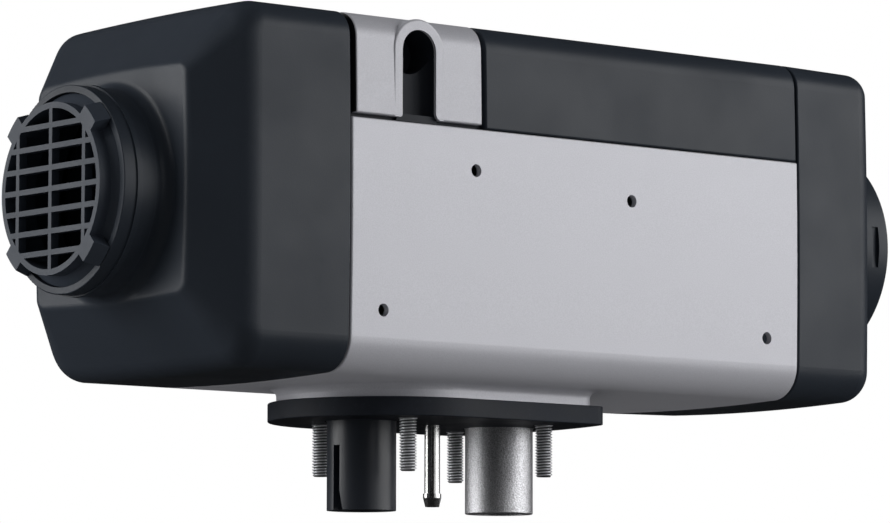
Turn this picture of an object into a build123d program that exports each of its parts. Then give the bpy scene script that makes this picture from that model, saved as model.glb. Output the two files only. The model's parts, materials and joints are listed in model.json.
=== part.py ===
from build123d import *
import os
from math import cos, radians, sin

os.makedirs("parts", exist_ok=True)

# Diesel air heater, hung by four studs under its flange. Millimetres.
# Origin: middle of the four studs, on the underside of the flange gasket.
# +X runs along the air path from the intake to the outlet, which is also the fan axis.
# +Z is up. The side with the cable outlet faces -Y.

# ---------------------------------------------------------------- driving dimensions

# Jacket: the outer casing, a rounded box whose four sides bulge slightly.
body_width = 115.0          # across Y, at the widest
body_height = 122.5         # underside to top, on the middle plane
side_crown = 0.9            # bulge of each side beyond its corners
base_crown = 1.4            # bulge of the underside
top_crown = 0.8             # bulge of the top
low_corner_radius = 12.0    # long edges of the underside
high_corner_radius = 9.5    # long edges of the top
shell_wall = 2.4            # thickness of every casing part
shell_length = 201.8        # between the two end caps
shell_left = -80.2          # seam between the intake cap and the shells
axis_drop = 0.75            # fan axis below mid-height
hood_height = 36.8          # top of the casing above the lower shell's edge
seam_round = 0.6            # rounded outer edges along the casing's joints
seam_gap = 0.5              # joint lines between casing parts
lift_gap = 0.4              # clearance around a piece that lifts off
edge_round = 0.4            # free edges of nozzles, pipes and the gasket
touch = 0.01                # how near an edge must be to a place to count as on it
lip_wall = 1.6              # lips and ribs behind the casing's joints
lip_height = 6.0

# Mounting flange under the casing.
gasket_thickness = 6.5
collar_height = 4.5         # neck of the lower shell between gasket and underside
collar_inset = 3.0          # neck stands in from the gasket's edge
flange_half_width = 42.0
flange_arc_x = -19.6        # centre of the round end
flange_end_x = 44.0         # square end
flange_end_bulge = 6.5
flange_corner = 5.0
collar_corner = 6.5
collar_root = 2.5           # blend between the neck and the underside
flange_plate = 11.5         # cast flange on top of the gasket
flange_lip = 3.0            # upper edge of that plate, which holds the lower shell down

# Studs and pipes that go through the mounting surface.
stud_spacing_x = 60.6
stud_spacing_y = 49.2
stud_radius = 3.0
stud_reach = 18.0           # below the gasket
stud_chamfer = 0.6
stud_grip = 7.5             # screwed into the flange casting
stud_root = 3.25            # radius above the gasket's underside
thread_play = 0.05
pipe_play = 0.5             # gasket holes around studs and pipes
pipe_shoulder = 0.25        # pipes are this much thicker above the gasket's underside
spigot_radius = 11.6        # top of the air stub, inside the flange casting
spigot_height = 11.0
air_stub_x = -31.3
air_stub_radius = 12.0
air_stub_bore = 9.6
air_stub_reach = 30.8
air_stub_slot_width = 3.0
air_stub_slot_height = 22.3
air_stub_slot_turn = 6.0    # degrees from -X toward -Y
slot_flare = 1.3            # the slot widens by this at its mouth
slot_flare_height = 6.4
exhaust_x = 30.2
exhaust_radius = 12.0
exhaust_bore = 9.5
exhaust_reach = 30.2
exhaust_seat_radius = 12.8  # top of the exhaust stub, inside the flange casting
fuel_pipe_radius = 2.75
fuel_pipe_root = 3.0        # radius above the gasket's underside
fuel_pipe_bore = 1.5
fuel_pipe_reach = 28.5
fuel_bead_radius = 3.2
fuel_bead_height = 4.6
fuel_tip_radius = 2.45
fuel_bush_radius = 5.5
fuel_bush_height = 4.0

# Intake cap and its grille.
intake_band = 41.0          # straight part, from the seam
intake_slope = 17.0         # sloping part, to the end face
intake_face_half_width = 44.0
intake_face_top = 40.5      # above the fan axis
intake_face_bottom = 36.8   # below the fan axis
intake_face_corner = 5.0
intake_face_bow = 1.2
intake_fold_radius = 11.0
intake_face_edge = 3.5
intake_nozzle_radius = 34.85
intake_nozzle_wall = 2.4
intake_nozzle_length = 18.1
intake_nozzle_root = 3.6
intake_collar = 5.2         # short collar of the cap round the nozzle's foot
intake_sleeve_wall = 1.1    # nozzle's wall inside that collar
intake_sleeve_play = 0.1
intake_bead = 0.6
intake_bead_width = 1.9
intake_bead_setback = 5.0   # from the rim
grille_radius = 28.75
grille_rim = 2.0
grille_proud = 5.6          # front face beyond the nozzle's rim
grille_depth = 12.0
grille_bar = 1.8
grille_bar_depth = 3.0
grille_row_pitch = 7.05
grille_rows = 7
grille_column_pitch = 19.27
grille_columns = 3
lug_count = 4
lug_width = 8.5
lug_front_radius = 32.4
grille_play = 0.35
skirt_setback = 1.0         # cone behind the grille's ring starts this far before the rim
skirt_depth = 2.5
skirt_wall = 1.2

# Outlet cap and its nozzle.
cap_lip = 5.0               # lips of both end caps reach this far into the shells
outlet_length = 39.8
outlet_draft = 1.0          # degrees
outlet_edge_radius = 8.5
outlet_nozzle_radius = 40.0
outlet_nozzle_wall = 2.4
outlet_nozzle_length = 22.0
outlet_rib = 2.6            # flange of the nozzle behind the cap's end wall
outlet_shoulder = 0.8       # the nozzle is this much thicker inside the cap's end wall
outlet_play = 0.15
latch_width = 3.2
latch_height = 15.0
latch_depth = 1.5
latch_setback = 6.0

# Cable cover, its arch and the black frame under it.
cover_left = 1.8            # from the left seam
cover_right = 55.8
frame_gap = 1.7             # dark line between cable cover and service cover
cover_drop = 1.5            # dark line between cable cover and lower shell
arch_x = 28.5               # from the left seam
arch_radius = 10.9
arch_opening_radius = 7.2
arch_drop = 1.5             # top of the arch below the casing's top
arch_setback = 0.2          # face of the arch in from the casing's widest
arch_round = 0.8
arch_left_foot = 1.0        # rounded inner corners of the two legs
arch_right_foot = 2.4
arch_depth = 16.0
arch_lip = 1.2              # front edge of the arch, over the black liner
arch_liner = 1.4
arch_liner_depth = 15.5
rib_lap = 3.0               # ribs reach this far under each cover
trough_depth = 4.6          # from the liner's front edge
trough_corner = 4.0
trough_rise = 2.8           # trough's floor above the lower shell's edge
grommet_length = 3.0
grommet_bore = 4.5

# Hot-air fan, motor and combustion-air fan, on one shaft.
shaft_radius = 3.0
running_play = 0.05
fan_left = -130.0
fan_length = 22.0
fan_clearance = 17.0        # blade tips in from the casing's nearest side
fan_hub_radius = 15.0
fan_blades = 9
fan_blade_thickness = 1.8
fan_blade_chord = 18.0
fan_root_pitch = 28.0       # degrees from the axis
fan_tip_pitch = 52.0
fan_hub_wall = 2.5
fan_shroud_play = 1.5
air_guide_wall = 2.0
guide_ring_setback = 4.0    # ring starts this far behind the fan's nose
guide_wall_setback = 4.0    # wall stands this far before the fan's right end
bulkhead_thickness = 2.5
motor_length = 38.0
motor_radius = 26.0
motor_wall = 2.5
magnet_radius = 12.0
magnet_length = 20.0
stator_length = 22.0
stator_bore = 14.0
stator_slots = 6
slot_depth = 6.0
slot_width = 7.0
coil_play = 0.2
coil_length = 26.0
shaft_play = 0.6            # holes that the shaft passes freely
bearing_radius = 6.5
bearing_width = 5.0
bearing_seat_wall = 2.5
fan_nose = 6.0              # rounded front of the hub
fan_collar_radius = 6.0     # clip that holds the hot-air fan on its shaft
fan_collar_length = 2.5
blower_plate = 3.0
blower_clearance = 13.5     # blower in from the casing's nearest side
blower_wall = 3.0
blower_depth = 12.0
snout_radius = 9.0          # widening of the burner joint around the air duct
duct_depth = 9.0
duct_slot = 4.0             # passage from the air duct into the blower
burner_fan_clearance = 10.0 # combustion fan in from the outside of the blower
burner_fan_hub = 8.0
burner_fan_gap = 1.5
burner_fan_disc = 1.6
burner_fan_blades = 24
burner_fan_blade_height = 7.0
burner_fan_blade_length = 9.0

# Burner and heat exchanger.
exchanger_left = -42.0
exchanger_length = 152.0
fin_clearance = 7.5         # fins in from the casing's nearest side
fin_depth = 14.0            # from the drum to the edge of the fins
exchanger_wall = 4.0
exchanger_end_wall = 5.0
end_ring_overhang = 2.0     # beyond the outside of the blower
end_ring_thickness = 6.0
fin_count = 24
fin_thickness = 2.0
neck_half_width = 17.0
neck_length = 88.0
duct_radius = 7.0
snout_rise = 0.5            # burner joint above the flange casting
chamber_clearance = 12.0    # chamber in from the outside of the drum
chamber_length = 52.0
chamber_ring_play = 0.2
sheet_wall = 1.2
burner_throat = 10.0        # hole that feeds air into the chamber
flame_tube_length = 72.0
flame_lap = 5.0
port_clearance = 4.0        # ring of air holes outside the chamber
port_radius = 2.5
port_count = 12
burner_plate = 2.0
burner_gasket_thickness = 1.0
mat_thickness = 3.0
mat_length = 14.0
air_hole_radius = 1.4
air_hole_rows = 3
air_holes_per_row = 12
air_hole_pitch = 9.0
air_hole_first = 7.0        # from the chamber's left end
glow_x = -22.0
glow_boss_radius = 9.0
glow_boss_height = 6.0      # above the drum
glow_thread_radius = 5.0
glow_tip_radius = 2.3
glow_tip_depth = 12.0
glow_hex = 13.0
glow_hex_height = 6.0
glow_terminal_radius = 2.0
glow_terminal_height = 5.0
sensor_x = 60.0
sensor_boss_length = 18.0
sensor_boss_width = 16.0
sensor_boss_height = 4.0    # above the drum
sensor_length = 15.0
sensor_width = 11.0
sensor_height = 5.0
clip_thickness = 0.8
clip_length = 6.0
boss_clearance = 3.0        # fins stop this far from the bosses

# Control unit and fasteners.
unit_length = 40.0
unit_gap = 4.0              # between the unit and the blower plate
unit_width = 62.0
unit_top_gap = 12.0         # from the unit's lid seat to the casing's top
unit_wall = 2.0
unit_lid = 2.0
unit_corner = 4.0
unit_clearance = 4.0        # above the motor
board_height = 8.0          # above the unit's underside
board_half_width = 18.0
board_thickness = 1.6
post_width = 8.0
post_y = 24.0
post_inset = 8.0            # posts stand this far in from the unit's ends
connector_inset = 9.0       # middle of the connector from the unit's right end
connector_width = 14.0
connector_height = 7.0
connector_length = 8.0
screw_radius = 2.0
screw_head_radius = 3.6
screw_head_height = 2.8
screw_play = 0.2            # clearance holes around screws
burner_screw_inset = 4.0    # screws in from the outside of the blower
burner_screw_depth = 5.0
motor_screw_circle = 30.0
flange_screw_x = 13.0       # screws that hold the exchanger on the flange casting
flange_screw_y = 11.5
flange_screw_depth = 6.0
motor_screw_count = 3
motor_ear_radius = 5.0
unit_screw_depth = 7.0

# Holes in the sides of the lower shell: along X and above or below the fan axis.
panel_hole_radius = 2.2
panel_holes = [(-27.1, 11.0), (42.7, 5.6), (-66.6, -38.7), (106.6, -38.7)]

# ------------------------------------------------------------------- places worked out

body_bottom = gasket_thickness + collar_height
body_top = body_bottom + body_height
axis_z = body_bottom + body_height / 2 - axis_drop
split_z = body_top - hood_height
nearest_side = min(body_width, body_height) / 2
shell_right = shell_left + shell_length
intake_fold_x = shell_left - intake_band
intake_face_x = intake_fold_x - intake_slope
intake_rim_x = intake_face_x - intake_nozzle_length
grille_front_x = intake_rim_x - grille_proud
outlet_face_x = shell_right + outlet_length
outlet_rim_x = outlet_face_x + outlet_nozzle_length
cover_left_x = shell_left + cover_left
cover_right_x = shell_left + cover_right
service_left_x = cover_right_x + frame_gap
arch_centre_x = shell_left + arch_x
arch_centre_z = body_top - arch_drop - arch_radius
arch_face_y = -body_width / 2 + arch_setback
liner_face_y = arch_face_y + arch_lip + lift_gap
liner_radius = arch_opening_radius + arch_liner
ledge_z = arch_centre_z - arch_opening_radius
flange_top = gasket_thickness + flange_plate
block_y = -body_width / 2 + shell_wall + lift_gap
block_back_y = liner_face_y + arch_liner_depth
intake_bore = intake_nozzle_radius - intake_nozzle_wall
intake_collar_x = intake_face_x - intake_collar
intake_sleeve_radius = intake_bore + intake_sleeve_wall
fin_radius = nearest_side - fin_clearance
exchanger_radius = fin_radius - fin_depth
chamber_radius = exchanger_radius - chamber_clearance
blower_radius = nearest_side - blower_clearance
burner_fan_radius = blower_radius - burner_fan_clearance
burner_screw_circle = blower_radius - burner_screw_inset
end_ring_radius = blower_radius + end_ring_overhang
port_circle = chamber_radius + port_clearance
fan_radius = nearest_side - fan_clearance
glow_boss_top = exchanger_radius + glow_boss_height
sensor_boss_top = exchanger_radius + sensor_boss_height
duct_z = flange_top + snout_rise + snout_radius
duct_drop = axis_z - duct_z
burner_plate_x = exchanger_left - burner_plate
blower_face_x = burner_plate_x - burner_gasket_thickness
blower_left_x = blower_face_x - blower_wall - blower_depth
blower_plate_x = blower_left_x - blower_plate
motor_left = blower_plate_x - motor_length
unit_right = blower_plate_x - unit_gap
unit_left = unit_right - unit_length
unit_low = axis_z + motor_radius + unit_clearance
unit_high = body_top - unit_top_gap
unit_height = unit_high - unit_low
chamber_right = exchanger_left + chamber_length
motor_flange_x = blower_plate_x - bearing_seat_wall
fan_right = fan_left + fan_length
blower_bore = burner_fan_radius + burner_fan_gap
post_places = [
    (side_x, side_y)
    for side_x in (unit_left + post_inset, unit_right - post_inset)
    for side_y in (-post_y, post_y)
]
flange_screw_places = [
    (side_x * flange_screw_x, side_y * flange_screw_y)
    for side_x in (-1, 1)
    for side_y in (-1, 1)
]
stud_places = [
    (side_x * stud_spacing_x / 2, side_y * stud_spacing_y / 2)
    for side_x in (-1, 1)
    for side_y in (-1, 1)
]


def across(x):
    """Plane square to the fan axis, whose sketches are measured from that axis."""
    return Plane(origin=(x, 0, axis_z), x_dir=(0, 1, 0), z_dir=(1, 0, 0))


def bowed_outline(half_width, low, high, side_bow, low_bow, high_bow, low_corner, high_corner):
    """Rounded outline seen along X, with sides that bulge past their corners."""
    y = half_width - side_bow
    z_low, z_high = low + low_bow, high - high_bow
    middle = (z_low + z_high) / 2
    with BuildSketch() as outline:
        with BuildLine():
            ThreePointArc((-y, z_low), (0, low), (y, z_low))
            ThreePointArc((y, z_low), (half_width, middle), (y, z_high))
            ThreePointArc((y, z_high), (0, high), (-y, z_high))
            ThreePointArc((-y, z_high), (-half_width, middle), (-y, z_low))
        make_face()
        fillet(outline.vertices().group_by(Axis.Y)[0], low_corner)
        fillet(outline.vertices().group_by(Axis.Y)[-1], high_corner)
    return outline.sketch


def jacket_outline(inset):
    """Outline of the casing, this far inside its outer surface."""
    return bowed_outline(
        body_width / 2 - inset,
        body_bottom + inset,
        body_top - inset,
        side_crown,
        base_crown,
        top_crown,
        low_corner_radius - inset,
        high_corner_radius - inset,
    )


def intake_face_outline(inset):
    """Outline of the intake cap's end face, this far inside its edge."""
    return bowed_outline(
        intake_face_half_width - inset,
        axis_z - intake_face_bottom + inset,
        axis_z + intake_face_top - inset,
        intake_face_bow,
        intake_face_bow,
        intake_face_bow,
        intake_face_corner - inset,
        intake_face_corner - inset,
    )


def flange_outline(inset, corner):
    """Outline of the mounting flange from above: round at one end, square at the other."""
    half_width = flange_half_width - inset
    end_x = flange_end_x - inset
    with BuildSketch() as outline:
        with BuildLine():
            Line((flange_arc_x, -half_width), (end_x, -half_width))
            ThreePointArc((end_x, -half_width), (end_x + flange_end_bulge, 0), (end_x, half_width))
            Line((end_x, half_width), (flange_arc_x, half_width))
            ThreePointArc(
                (flange_arc_x, half_width),
                (flange_arc_x - half_width, 0),
                (flange_arc_x, -half_width),
            )
        make_face()
        fillet(outline.vertices().group_by(Axis.X)[-1], corner)
    return outline.sketch


def slab(outside, low, high):
    """Part of an outline of the casing between two heights."""
    with BuildSketch() as strip:
        add(outside)
        with Locations((0, high)):
            Rectangle(2 * body_width, 2 * body_height, align=(Align.CENTER, Align.MIN), mode=Mode.SUBTRACT)
        with Locations((0, low)):
            Rectangle(2 * body_width, 2 * body_height, align=(Align.CENTER, Align.MAX), mode=Mode.SUBTRACT)
    return strip.sketch


def band(outside, inside, low, high):
    """Part of the casing's section between two outlines and between two heights."""
    with BuildSketch() as strip:
        add(slab(outside, low, high))
        add(inside, mode=Mode.SUBTRACT)
    return strip.sketch


def joint_edges(part, left, right, height):
    """Outer edges of a solid casing part along its two ends and along a level joint."""
    return part.edges().filter_by(
        lambda edge: abs(edge.center().X - left) < touch
        or abs(edge.center().X - right) < touch
        or abs(edge.center().Z - height) < touch
    )


def arch(radius, low):
    """Upright arch of this radius round the cable outlet, with straight legs down to a height."""
    with BuildSketch() as outline:
        with Locations((arch_centre_x, arch_centre_z)):
            Circle(radius)
            Rectangle(2 * radius, arch_centre_z - low, align=(Align.CENTER, Align.MAX))
    return outline.sketch


def burner_joint(radius):
    """Face shared by blower, burner plate and heat exchanger: a disc widened for the air duct."""
    with BuildSketch() as face:
        Circle(radius)
        with Locations((0, -duct_drop)):
            Circle(snout_radius)
            Rectangle(2 * snout_radius, duct_drop, align=(Align.CENTER, Align.MIN))
    return face.sketch


def radial(x, angle):
    """Plane through the fan axis at x, facing outward at this angle from +Y."""
    outward = (0, cos(radians(angle)), sin(radians(angle)))
    return Plane(origin=(x, 0, axis_z), x_dir=(1, 0, 0), z_dir=outward)


# ------------------------------------------------------------------- outer casing

outer_outline = jacket_outline(0)
inner_outline = jacket_outline(shell_wall)
lip_outline = jacket_outline(shell_wall + lift_gap)
lip_back_outline = jacket_outline(shell_wall + lift_gap + lip_wall)
under_z = body_bottom - collar_height
over_z = body_top + collar_height

# Lower shell: a trough with a neck round the flange and small holes in its sides.
lower_section = slab(outer_outline, under_z, split_z)
collar_outline = flange_outline(collar_inset, collar_corner)
collar_opening = flange_outline(collar_inset + shell_wall, collar_corner - shell_wall)
with BuildPart() as lower_shell:
    with BuildSketch(Plane.YZ.offset(shell_left)):
        add(lower_section)
    extrude(amount=shell_length)
    fillet(joint_edges(lower_shell, shell_left, shell_right, split_z), seam_round)
    with BuildSketch(Plane.XY.offset(gasket_thickness)):
        add(collar_outline)
    extrude(amount=collar_height + base_crown)
    collar_top = lower_shell.edges().filter_by(
        lambda edge: abs(edge.center().Z - body_bottom) < base_crown
        and abs(edge.center().X) < flange_half_width - flange_arc_x
        and edge.length < shell_length / 2
    )
    fillet(collar_top, collar_root)
    with BuildSketch(Plane.YZ.offset(shell_left)):
        add(inner_outline)
    extrude(amount=shell_length, mode=Mode.SUBTRACT)
    with BuildSketch(Plane.XY.offset(gasket_thickness)):
        add(collar_opening)
    extrude(amount=collar_height + low_corner_radius, mode=Mode.SUBTRACT)
    with BuildSketch(Plane.XZ):
        with Locations([(x, axis_z + z) for x, z in panel_holes]):
            Circle(panel_hole_radius)
    extrude(amount=body_width, both=True, mode=Mode.SUBTRACT)
lower_shell.part.label = "lower_shell"
export_step(lower_shell.part, "parts/lower_shell.step")

# Service cover: the black upper half of the casing over the heat exchanger. A lip along
# each lower edge reaches down behind the lower shell.
service_low = split_z + lift_gap
service_section = slab(outer_outline, service_low, over_z)
lip_top = band(inner_outline, lip_back_outline, service_low, split_z + lip_height)
lip_bottom = band(lip_outline, lip_back_outline, split_z - lip_height, split_z + 2 * lift_gap)
service_right_x = shell_right - seam_gap
lip_left_x = service_left_x + rib_lap + lift_gap
with BuildPart() as service_cover:
    with BuildSketch(Plane.YZ.offset(service_left_x)):
        add(service_section)
    extrude(amount=service_right_x - service_left_x)
    fillet(joint_edges(service_cover, service_left_x, service_right_x, service_low), seam_round)
    with BuildSketch(Plane.YZ.offset(service_left_x)):
        add(inner_outline)
    extrude(amount=service_right_x - service_left_x, mode=Mode.SUBTRACT)
    with BuildSketch(Plane.YZ.offset(lip_left_x)):
        add(lip_top)
        add(lip_bottom)
    extrude(amount=service_right_x - cap_lip - lift_gap - lip_left_x)
service_cover.part.label = "service_cover"
export_step(service_cover.part, "parts/service_cover.step")

# Cable cover: the silver hood beside the intake cap, with the arch that the loom leaves by.
cover_low = split_z + cover_drop
cover_section = slab(outer_outline, cover_low, over_z)
arch_outer = arch(arch_radius, cover_low)
arch_recess = arch(liner_radius + lift_gap, under_z)
arch_opening = arch(arch_opening_radius, under_z)
with BuildPart() as arch_block:
    with BuildSketch(Plane.XZ.offset(-arch_face_y)):
        add(arch_outer)
    extrude(amount=-arch_depth)
    fillet(arch_block.faces().sort_by(Axis.Y)[0].edges().filter_by(Axis.X, reverse=True), arch_round)
with BuildPart() as cable_cover:
    with BuildSketch(Plane.YZ.offset(cover_left_x)):
        add(cover_section)
    extrude(amount=cover_right_x - cover_left_x)
    fillet(joint_edges(cable_cover, cover_left_x, cover_right_x, cover_low), seam_round)
    add(arch_block.part)
    with BuildSketch(Plane.YZ.offset(cover_left_x)):
        add(inner_outline)
    extrude(amount=cover_right_x - cover_left_x, mode=Mode.SUBTRACT)
    with BuildSketch(Plane.XZ.offset(-arch_face_y - arch_lip)):
        add(arch_recess)
    extrude(amount=-2 * arch_depth, mode=Mode.SUBTRACT)
    with BuildSketch(Plane.XZ.offset(-arch_face_y - 2 * arch_lip)):
        add(arch_opening)
        for side, foot_round in ((-1, arch_left_foot), (1, arch_right_foot)):
            foot_x = arch_centre_x + side * arch_opening_radius
            with Locations((foot_x + side * foot_round / 2, cover_low + foot_round / 2)):
                Rectangle(foot_round, foot_round)
            with Locations((foot_x + side * foot_round, cover_low + foot_round)):
                Circle(foot_round, mode=Mode.SUBTRACT)
    extrude(amount=arch_depth, mode=Mode.SUBTRACT)
cable_cover.part.label = "cable_cover"
export_step(cable_cover.part, "parts/cable_cover.step")

# Cable frame: black ribs behind the cable cover's joints, rails inside the lower shell, a
# liner inside the arch, and a shallow upright trough that leads the loom to the grommet.
rib_section = band(lip_outline, lip_back_outline, split_z - lift_gap, over_z)
rail_section = band(inner_outline, lip_back_outline, split_z - lip_height, split_z - lift_gap)
rail_edge = band(lip_outline, lip_back_outline, split_z - 2 * lift_gap, split_z + lip_height)
frame_left_x = shell_left + lift_gap
frame_right_x = service_left_x + rib_lap
liner_low = split_z + lift_gap
floor_z = split_z + trough_rise
trough_y = liner_face_y + trough_depth
liner_outer = arch(liner_radius, liner_low)
with BuildPart() as cable_frame:
    with BuildSketch(Plane.YZ.offset(frame_left_x)):
        add(rib_section)
    extrude(amount=cover_left_x + rib_lap - frame_left_x)
    with BuildSketch(Plane.YZ.offset(cover_right_x - rib_lap)):
        add(rib_section)
    extrude(amount=frame_right_x - cover_right_x + rib_lap)
    with BuildSketch(Plane.YZ.offset(frame_left_x)):
        add(rail_section)
        add(rail_edge)
    extrude(amount=frame_right_x - frame_left_x)
    with BuildSketch(Plane.XZ.offset(-liner_face_y)):
        add(liner_outer)
    extrude(amount=-arch_liner_depth)
    with BuildSketch(Plane.XY.offset(split_z - lip_height)):
        with Locations((arch_centre_x, (block_y + block_back_y) / 2)):
            Rectangle(2 * liner_radius, block_back_y - block_y)
    extrude(amount=ledge_z - split_z + lip_height)
    with BuildSketch(Plane.XY.offset(floor_z)) as trough:
        with Locations((arch_centre_x, trough_y)):
            Rectangle(2 * arch_opening_radius, body_width, align=(Align.CENTER, Align.MAX))
        fillet(trough.vertices().group_by(Axis.Y)[-1], trough_corner)
    extrude(amount=arch_centre_z - floor_z, mode=Mode.SUBTRACT)
    with BuildSketch(Plane.XZ.offset(-liner_face_y)):
        with Locations((arch_centre_x, arch_centre_z)):
            Circle(arch_opening_radius)
    extrude(amount=-arch_liner_depth, mode=Mode.SUBTRACT)
cable_frame.part.label = "cable_frame"
export_step(cable_frame.part, "parts/cable_frame.step")

# Cable grommet: a rubber ring on the ledge, at the back of the liner.
with BuildPart() as cable_grommet:
    with BuildSketch(Plane.XZ.offset(-block_back_y)):
        with Locations((arch_centre_x, arch_centre_z)):
            Circle(arch_opening_radius)
            Circle(grommet_bore, mode=Mode.SUBTRACT)
    extrude(amount=grommet_length)
cable_grommet.part.label = "cable_grommet"
export_step(cable_grommet.part, "parts/cable_grommet.step")

# Intake cap: a straight band, four sloping sides to a smaller end face, and a short collar
# round the nozzle's foot. A lip round its lower half reaches into the lower shell.
cap_root_outline = jacket_outline(shell_wall - lift_gap)
cap_lip_high = split_z - lip_height - 2 * lift_gap
cap_lip_low = band(lip_outline, lip_back_outline, under_z, cap_lip_high)
cap_root_low = band(cap_root_outline, lip_back_outline, under_z, cap_lip_high)
face_outline = intake_face_outline(0)
face_inner_outline = intake_face_outline(shell_wall)
hollow_fold_x = intake_fold_x + shell_wall / 2
with BuildPart() as intake_cap:
    with BuildSketch(Plane.YZ.offset(intake_fold_x)):
        add(outer_outline)
    extrude(amount=intake_band - seam_gap)
    fillet(intake_cap.faces().sort_by(Axis.X)[-1].edges(), seam_round)
    with BuildSketch(Plane.YZ.offset(intake_fold_x)):
        add(outer_outline)
    with BuildSketch(Plane.YZ.offset(intake_face_x)):
        add(face_outline)
    loft(ruled=True)
    fold_edges = intake_cap.edges().filter_by(
        lambda edge: abs(edge.center().X - intake_fold_x) < touch and edge.bounding_box().size.X < touch
    )
    fillet(fold_edges, intake_fold_radius)
    fillet(intake_cap.faces().sort_by(Axis.X)[0].edges(), intake_face_edge)
    with BuildSketch(across(intake_face_x + shell_wall / 2)):
        Circle(intake_nozzle_radius)
    extrude(amount=-intake_collar - shell_wall / 2)
    root_edges = intake_cap.edges().filter_by(GeomType.CIRCLE).filter_by(
        lambda edge: abs(edge.radius - intake_nozzle_radius) < touch
    )
    fillet(root_edges.sort_by(Axis.X)[-1], intake_nozzle_root)
    with BuildSketch(Plane.YZ.offset(hollow_fold_x)):
        add(inner_outline)
    extrude(amount=intake_band, mode=Mode.SUBTRACT)
    with BuildSketch(Plane.YZ.offset(hollow_fold_x)):
        add(inner_outline)
    with BuildSketch(Plane.YZ.offset(intake_face_x + shell_wall)):
        add(face_inner_outline)
    loft(ruled=True, mode=Mode.SUBTRACT)
    with BuildSketch(across(intake_collar_x)):
        Circle(intake_sleeve_radius + intake_sleeve_play)
    extrude(amount=intake_collar + 2 * shell_wall, mode=Mode.SUBTRACT)
    with BuildSketch(Plane.YZ.offset(shell_left - seam_gap - cap_lip)):
        add(cap_lip_low)
    extrude(amount=2 * cap_lip + seam_gap)
    with BuildSketch(Plane.YZ.offset(shell_left - seam_gap - cap_lip)):
        add(cap_root_low)
    extrude(amount=cap_lip)
intake_cap.part.label = "intake_cap"
export_step(intake_cap.part, "parts/intake_cap.step")

# Intake nozzle: a ring with a bead, whose thinner sleeve is pushed into the cap's collar.
with BuildPart() as intake_nozzle:
    with BuildSketch(across(intake_rim_x)):
        Circle(intake_nozzle_radius)
    extrude(amount=intake_nozzle_length - intake_collar)
    fillet(intake_nozzle.faces().sort_by(Axis.X)[0].edges(), edge_round)
    with BuildSketch(across(intake_rim_x + intake_bead_setback)):
        Circle(intake_nozzle_radius + intake_bead)
    extrude(amount=intake_bead_width)
    with BuildSketch(across(intake_collar_x)):
        Circle(intake_sleeve_radius)
    extrude(amount=intake_collar + shell_wall)
    with BuildSketch(across(intake_rim_x)):
        Circle(intake_bore)
    extrude(amount=intake_nozzle_length + shell_wall, mode=Mode.SUBTRACT)
intake_nozzle.part.label = "intake_nozzle"
export_step(intake_nozzle.part, "parts/intake_nozzle.step")

# Intake grille: a ring with crossed bars and four lugs that rest on the nozzle's rim. A cone
# behind the ring closes the gap to the nozzle's bore.
row_places = [(0, (row - (grille_rows - 1) / 2) * grille_row_pitch) for row in range(grille_rows)]
column_places = [
    ((column - (grille_columns - 1) / 2) * grille_column_pitch, 0) for column in range(grille_columns)
]
skirt_left_x = intake_rim_x - skirt_setback
lug_back_x = intake_rim_x - grille_play
grille_middle_radius = grille_radius - grille_rim / 2
with BuildPart() as grille_lugs:
    with BuildSketch(Plane.XY.offset(axis_z)):
        with BuildLine():
            Polyline(
                (grille_front_x, grille_middle_radius),
                (grille_front_x, lug_front_radius),
                (lug_back_x, intake_nozzle_radius - edge_round),
                (lug_back_x, grille_middle_radius),
                close=True,
            )
        make_face()
    revolve(axis=Axis((0, 0, axis_z), (1, 0, 0)))
    with BuildSketch(across(grille_front_x)):
        with PolarLocations(grille_radius, lug_count, start_angle=180 / lug_count):
            Rectangle(grille_radius, lug_width)
    extrude(amount=grille_depth, mode=Mode.INTERSECT)
with BuildPart() as intake_grille:
    with BuildSketch(across(grille_front_x)):
        Circle(grille_radius)
        Circle(grille_radius - grille_rim, mode=Mode.SUBTRACT)
    extrude(amount=grille_depth)
    with BuildSketch(across(grille_front_x)):
        with Locations(row_places):
            Rectangle(2 * grille_radius, grille_bar)
        with Locations(column_places):
            Rectangle(grille_bar, 2 * grille_radius)
        Circle(grille_middle_radius, mode=Mode.INTERSECT)
    extrude(amount=grille_bar_depth)
    add(grille_lugs.part)
    with BuildSketch(Plane.XY.offset(axis_z)):
        with BuildLine():
            Polyline(
                (skirt_left_x, grille_middle_radius),
                (skirt_left_x, grille_radius),
                (skirt_left_x + skirt_depth, intake_bore - grille_play),
                (skirt_left_x + skirt_depth + skirt_wall, intake_bore - grille_play),
                (skirt_left_x + 2 * skirt_wall, grille_middle_radius),
                close=True,
            )
        make_face()
    revolve(axis=Axis((0, 0, axis_z), (1, 0, 0)))
intake_grille.part.label = "intake_grille"
export_step(intake_grille.part, "parts/intake_grille.step")

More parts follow.
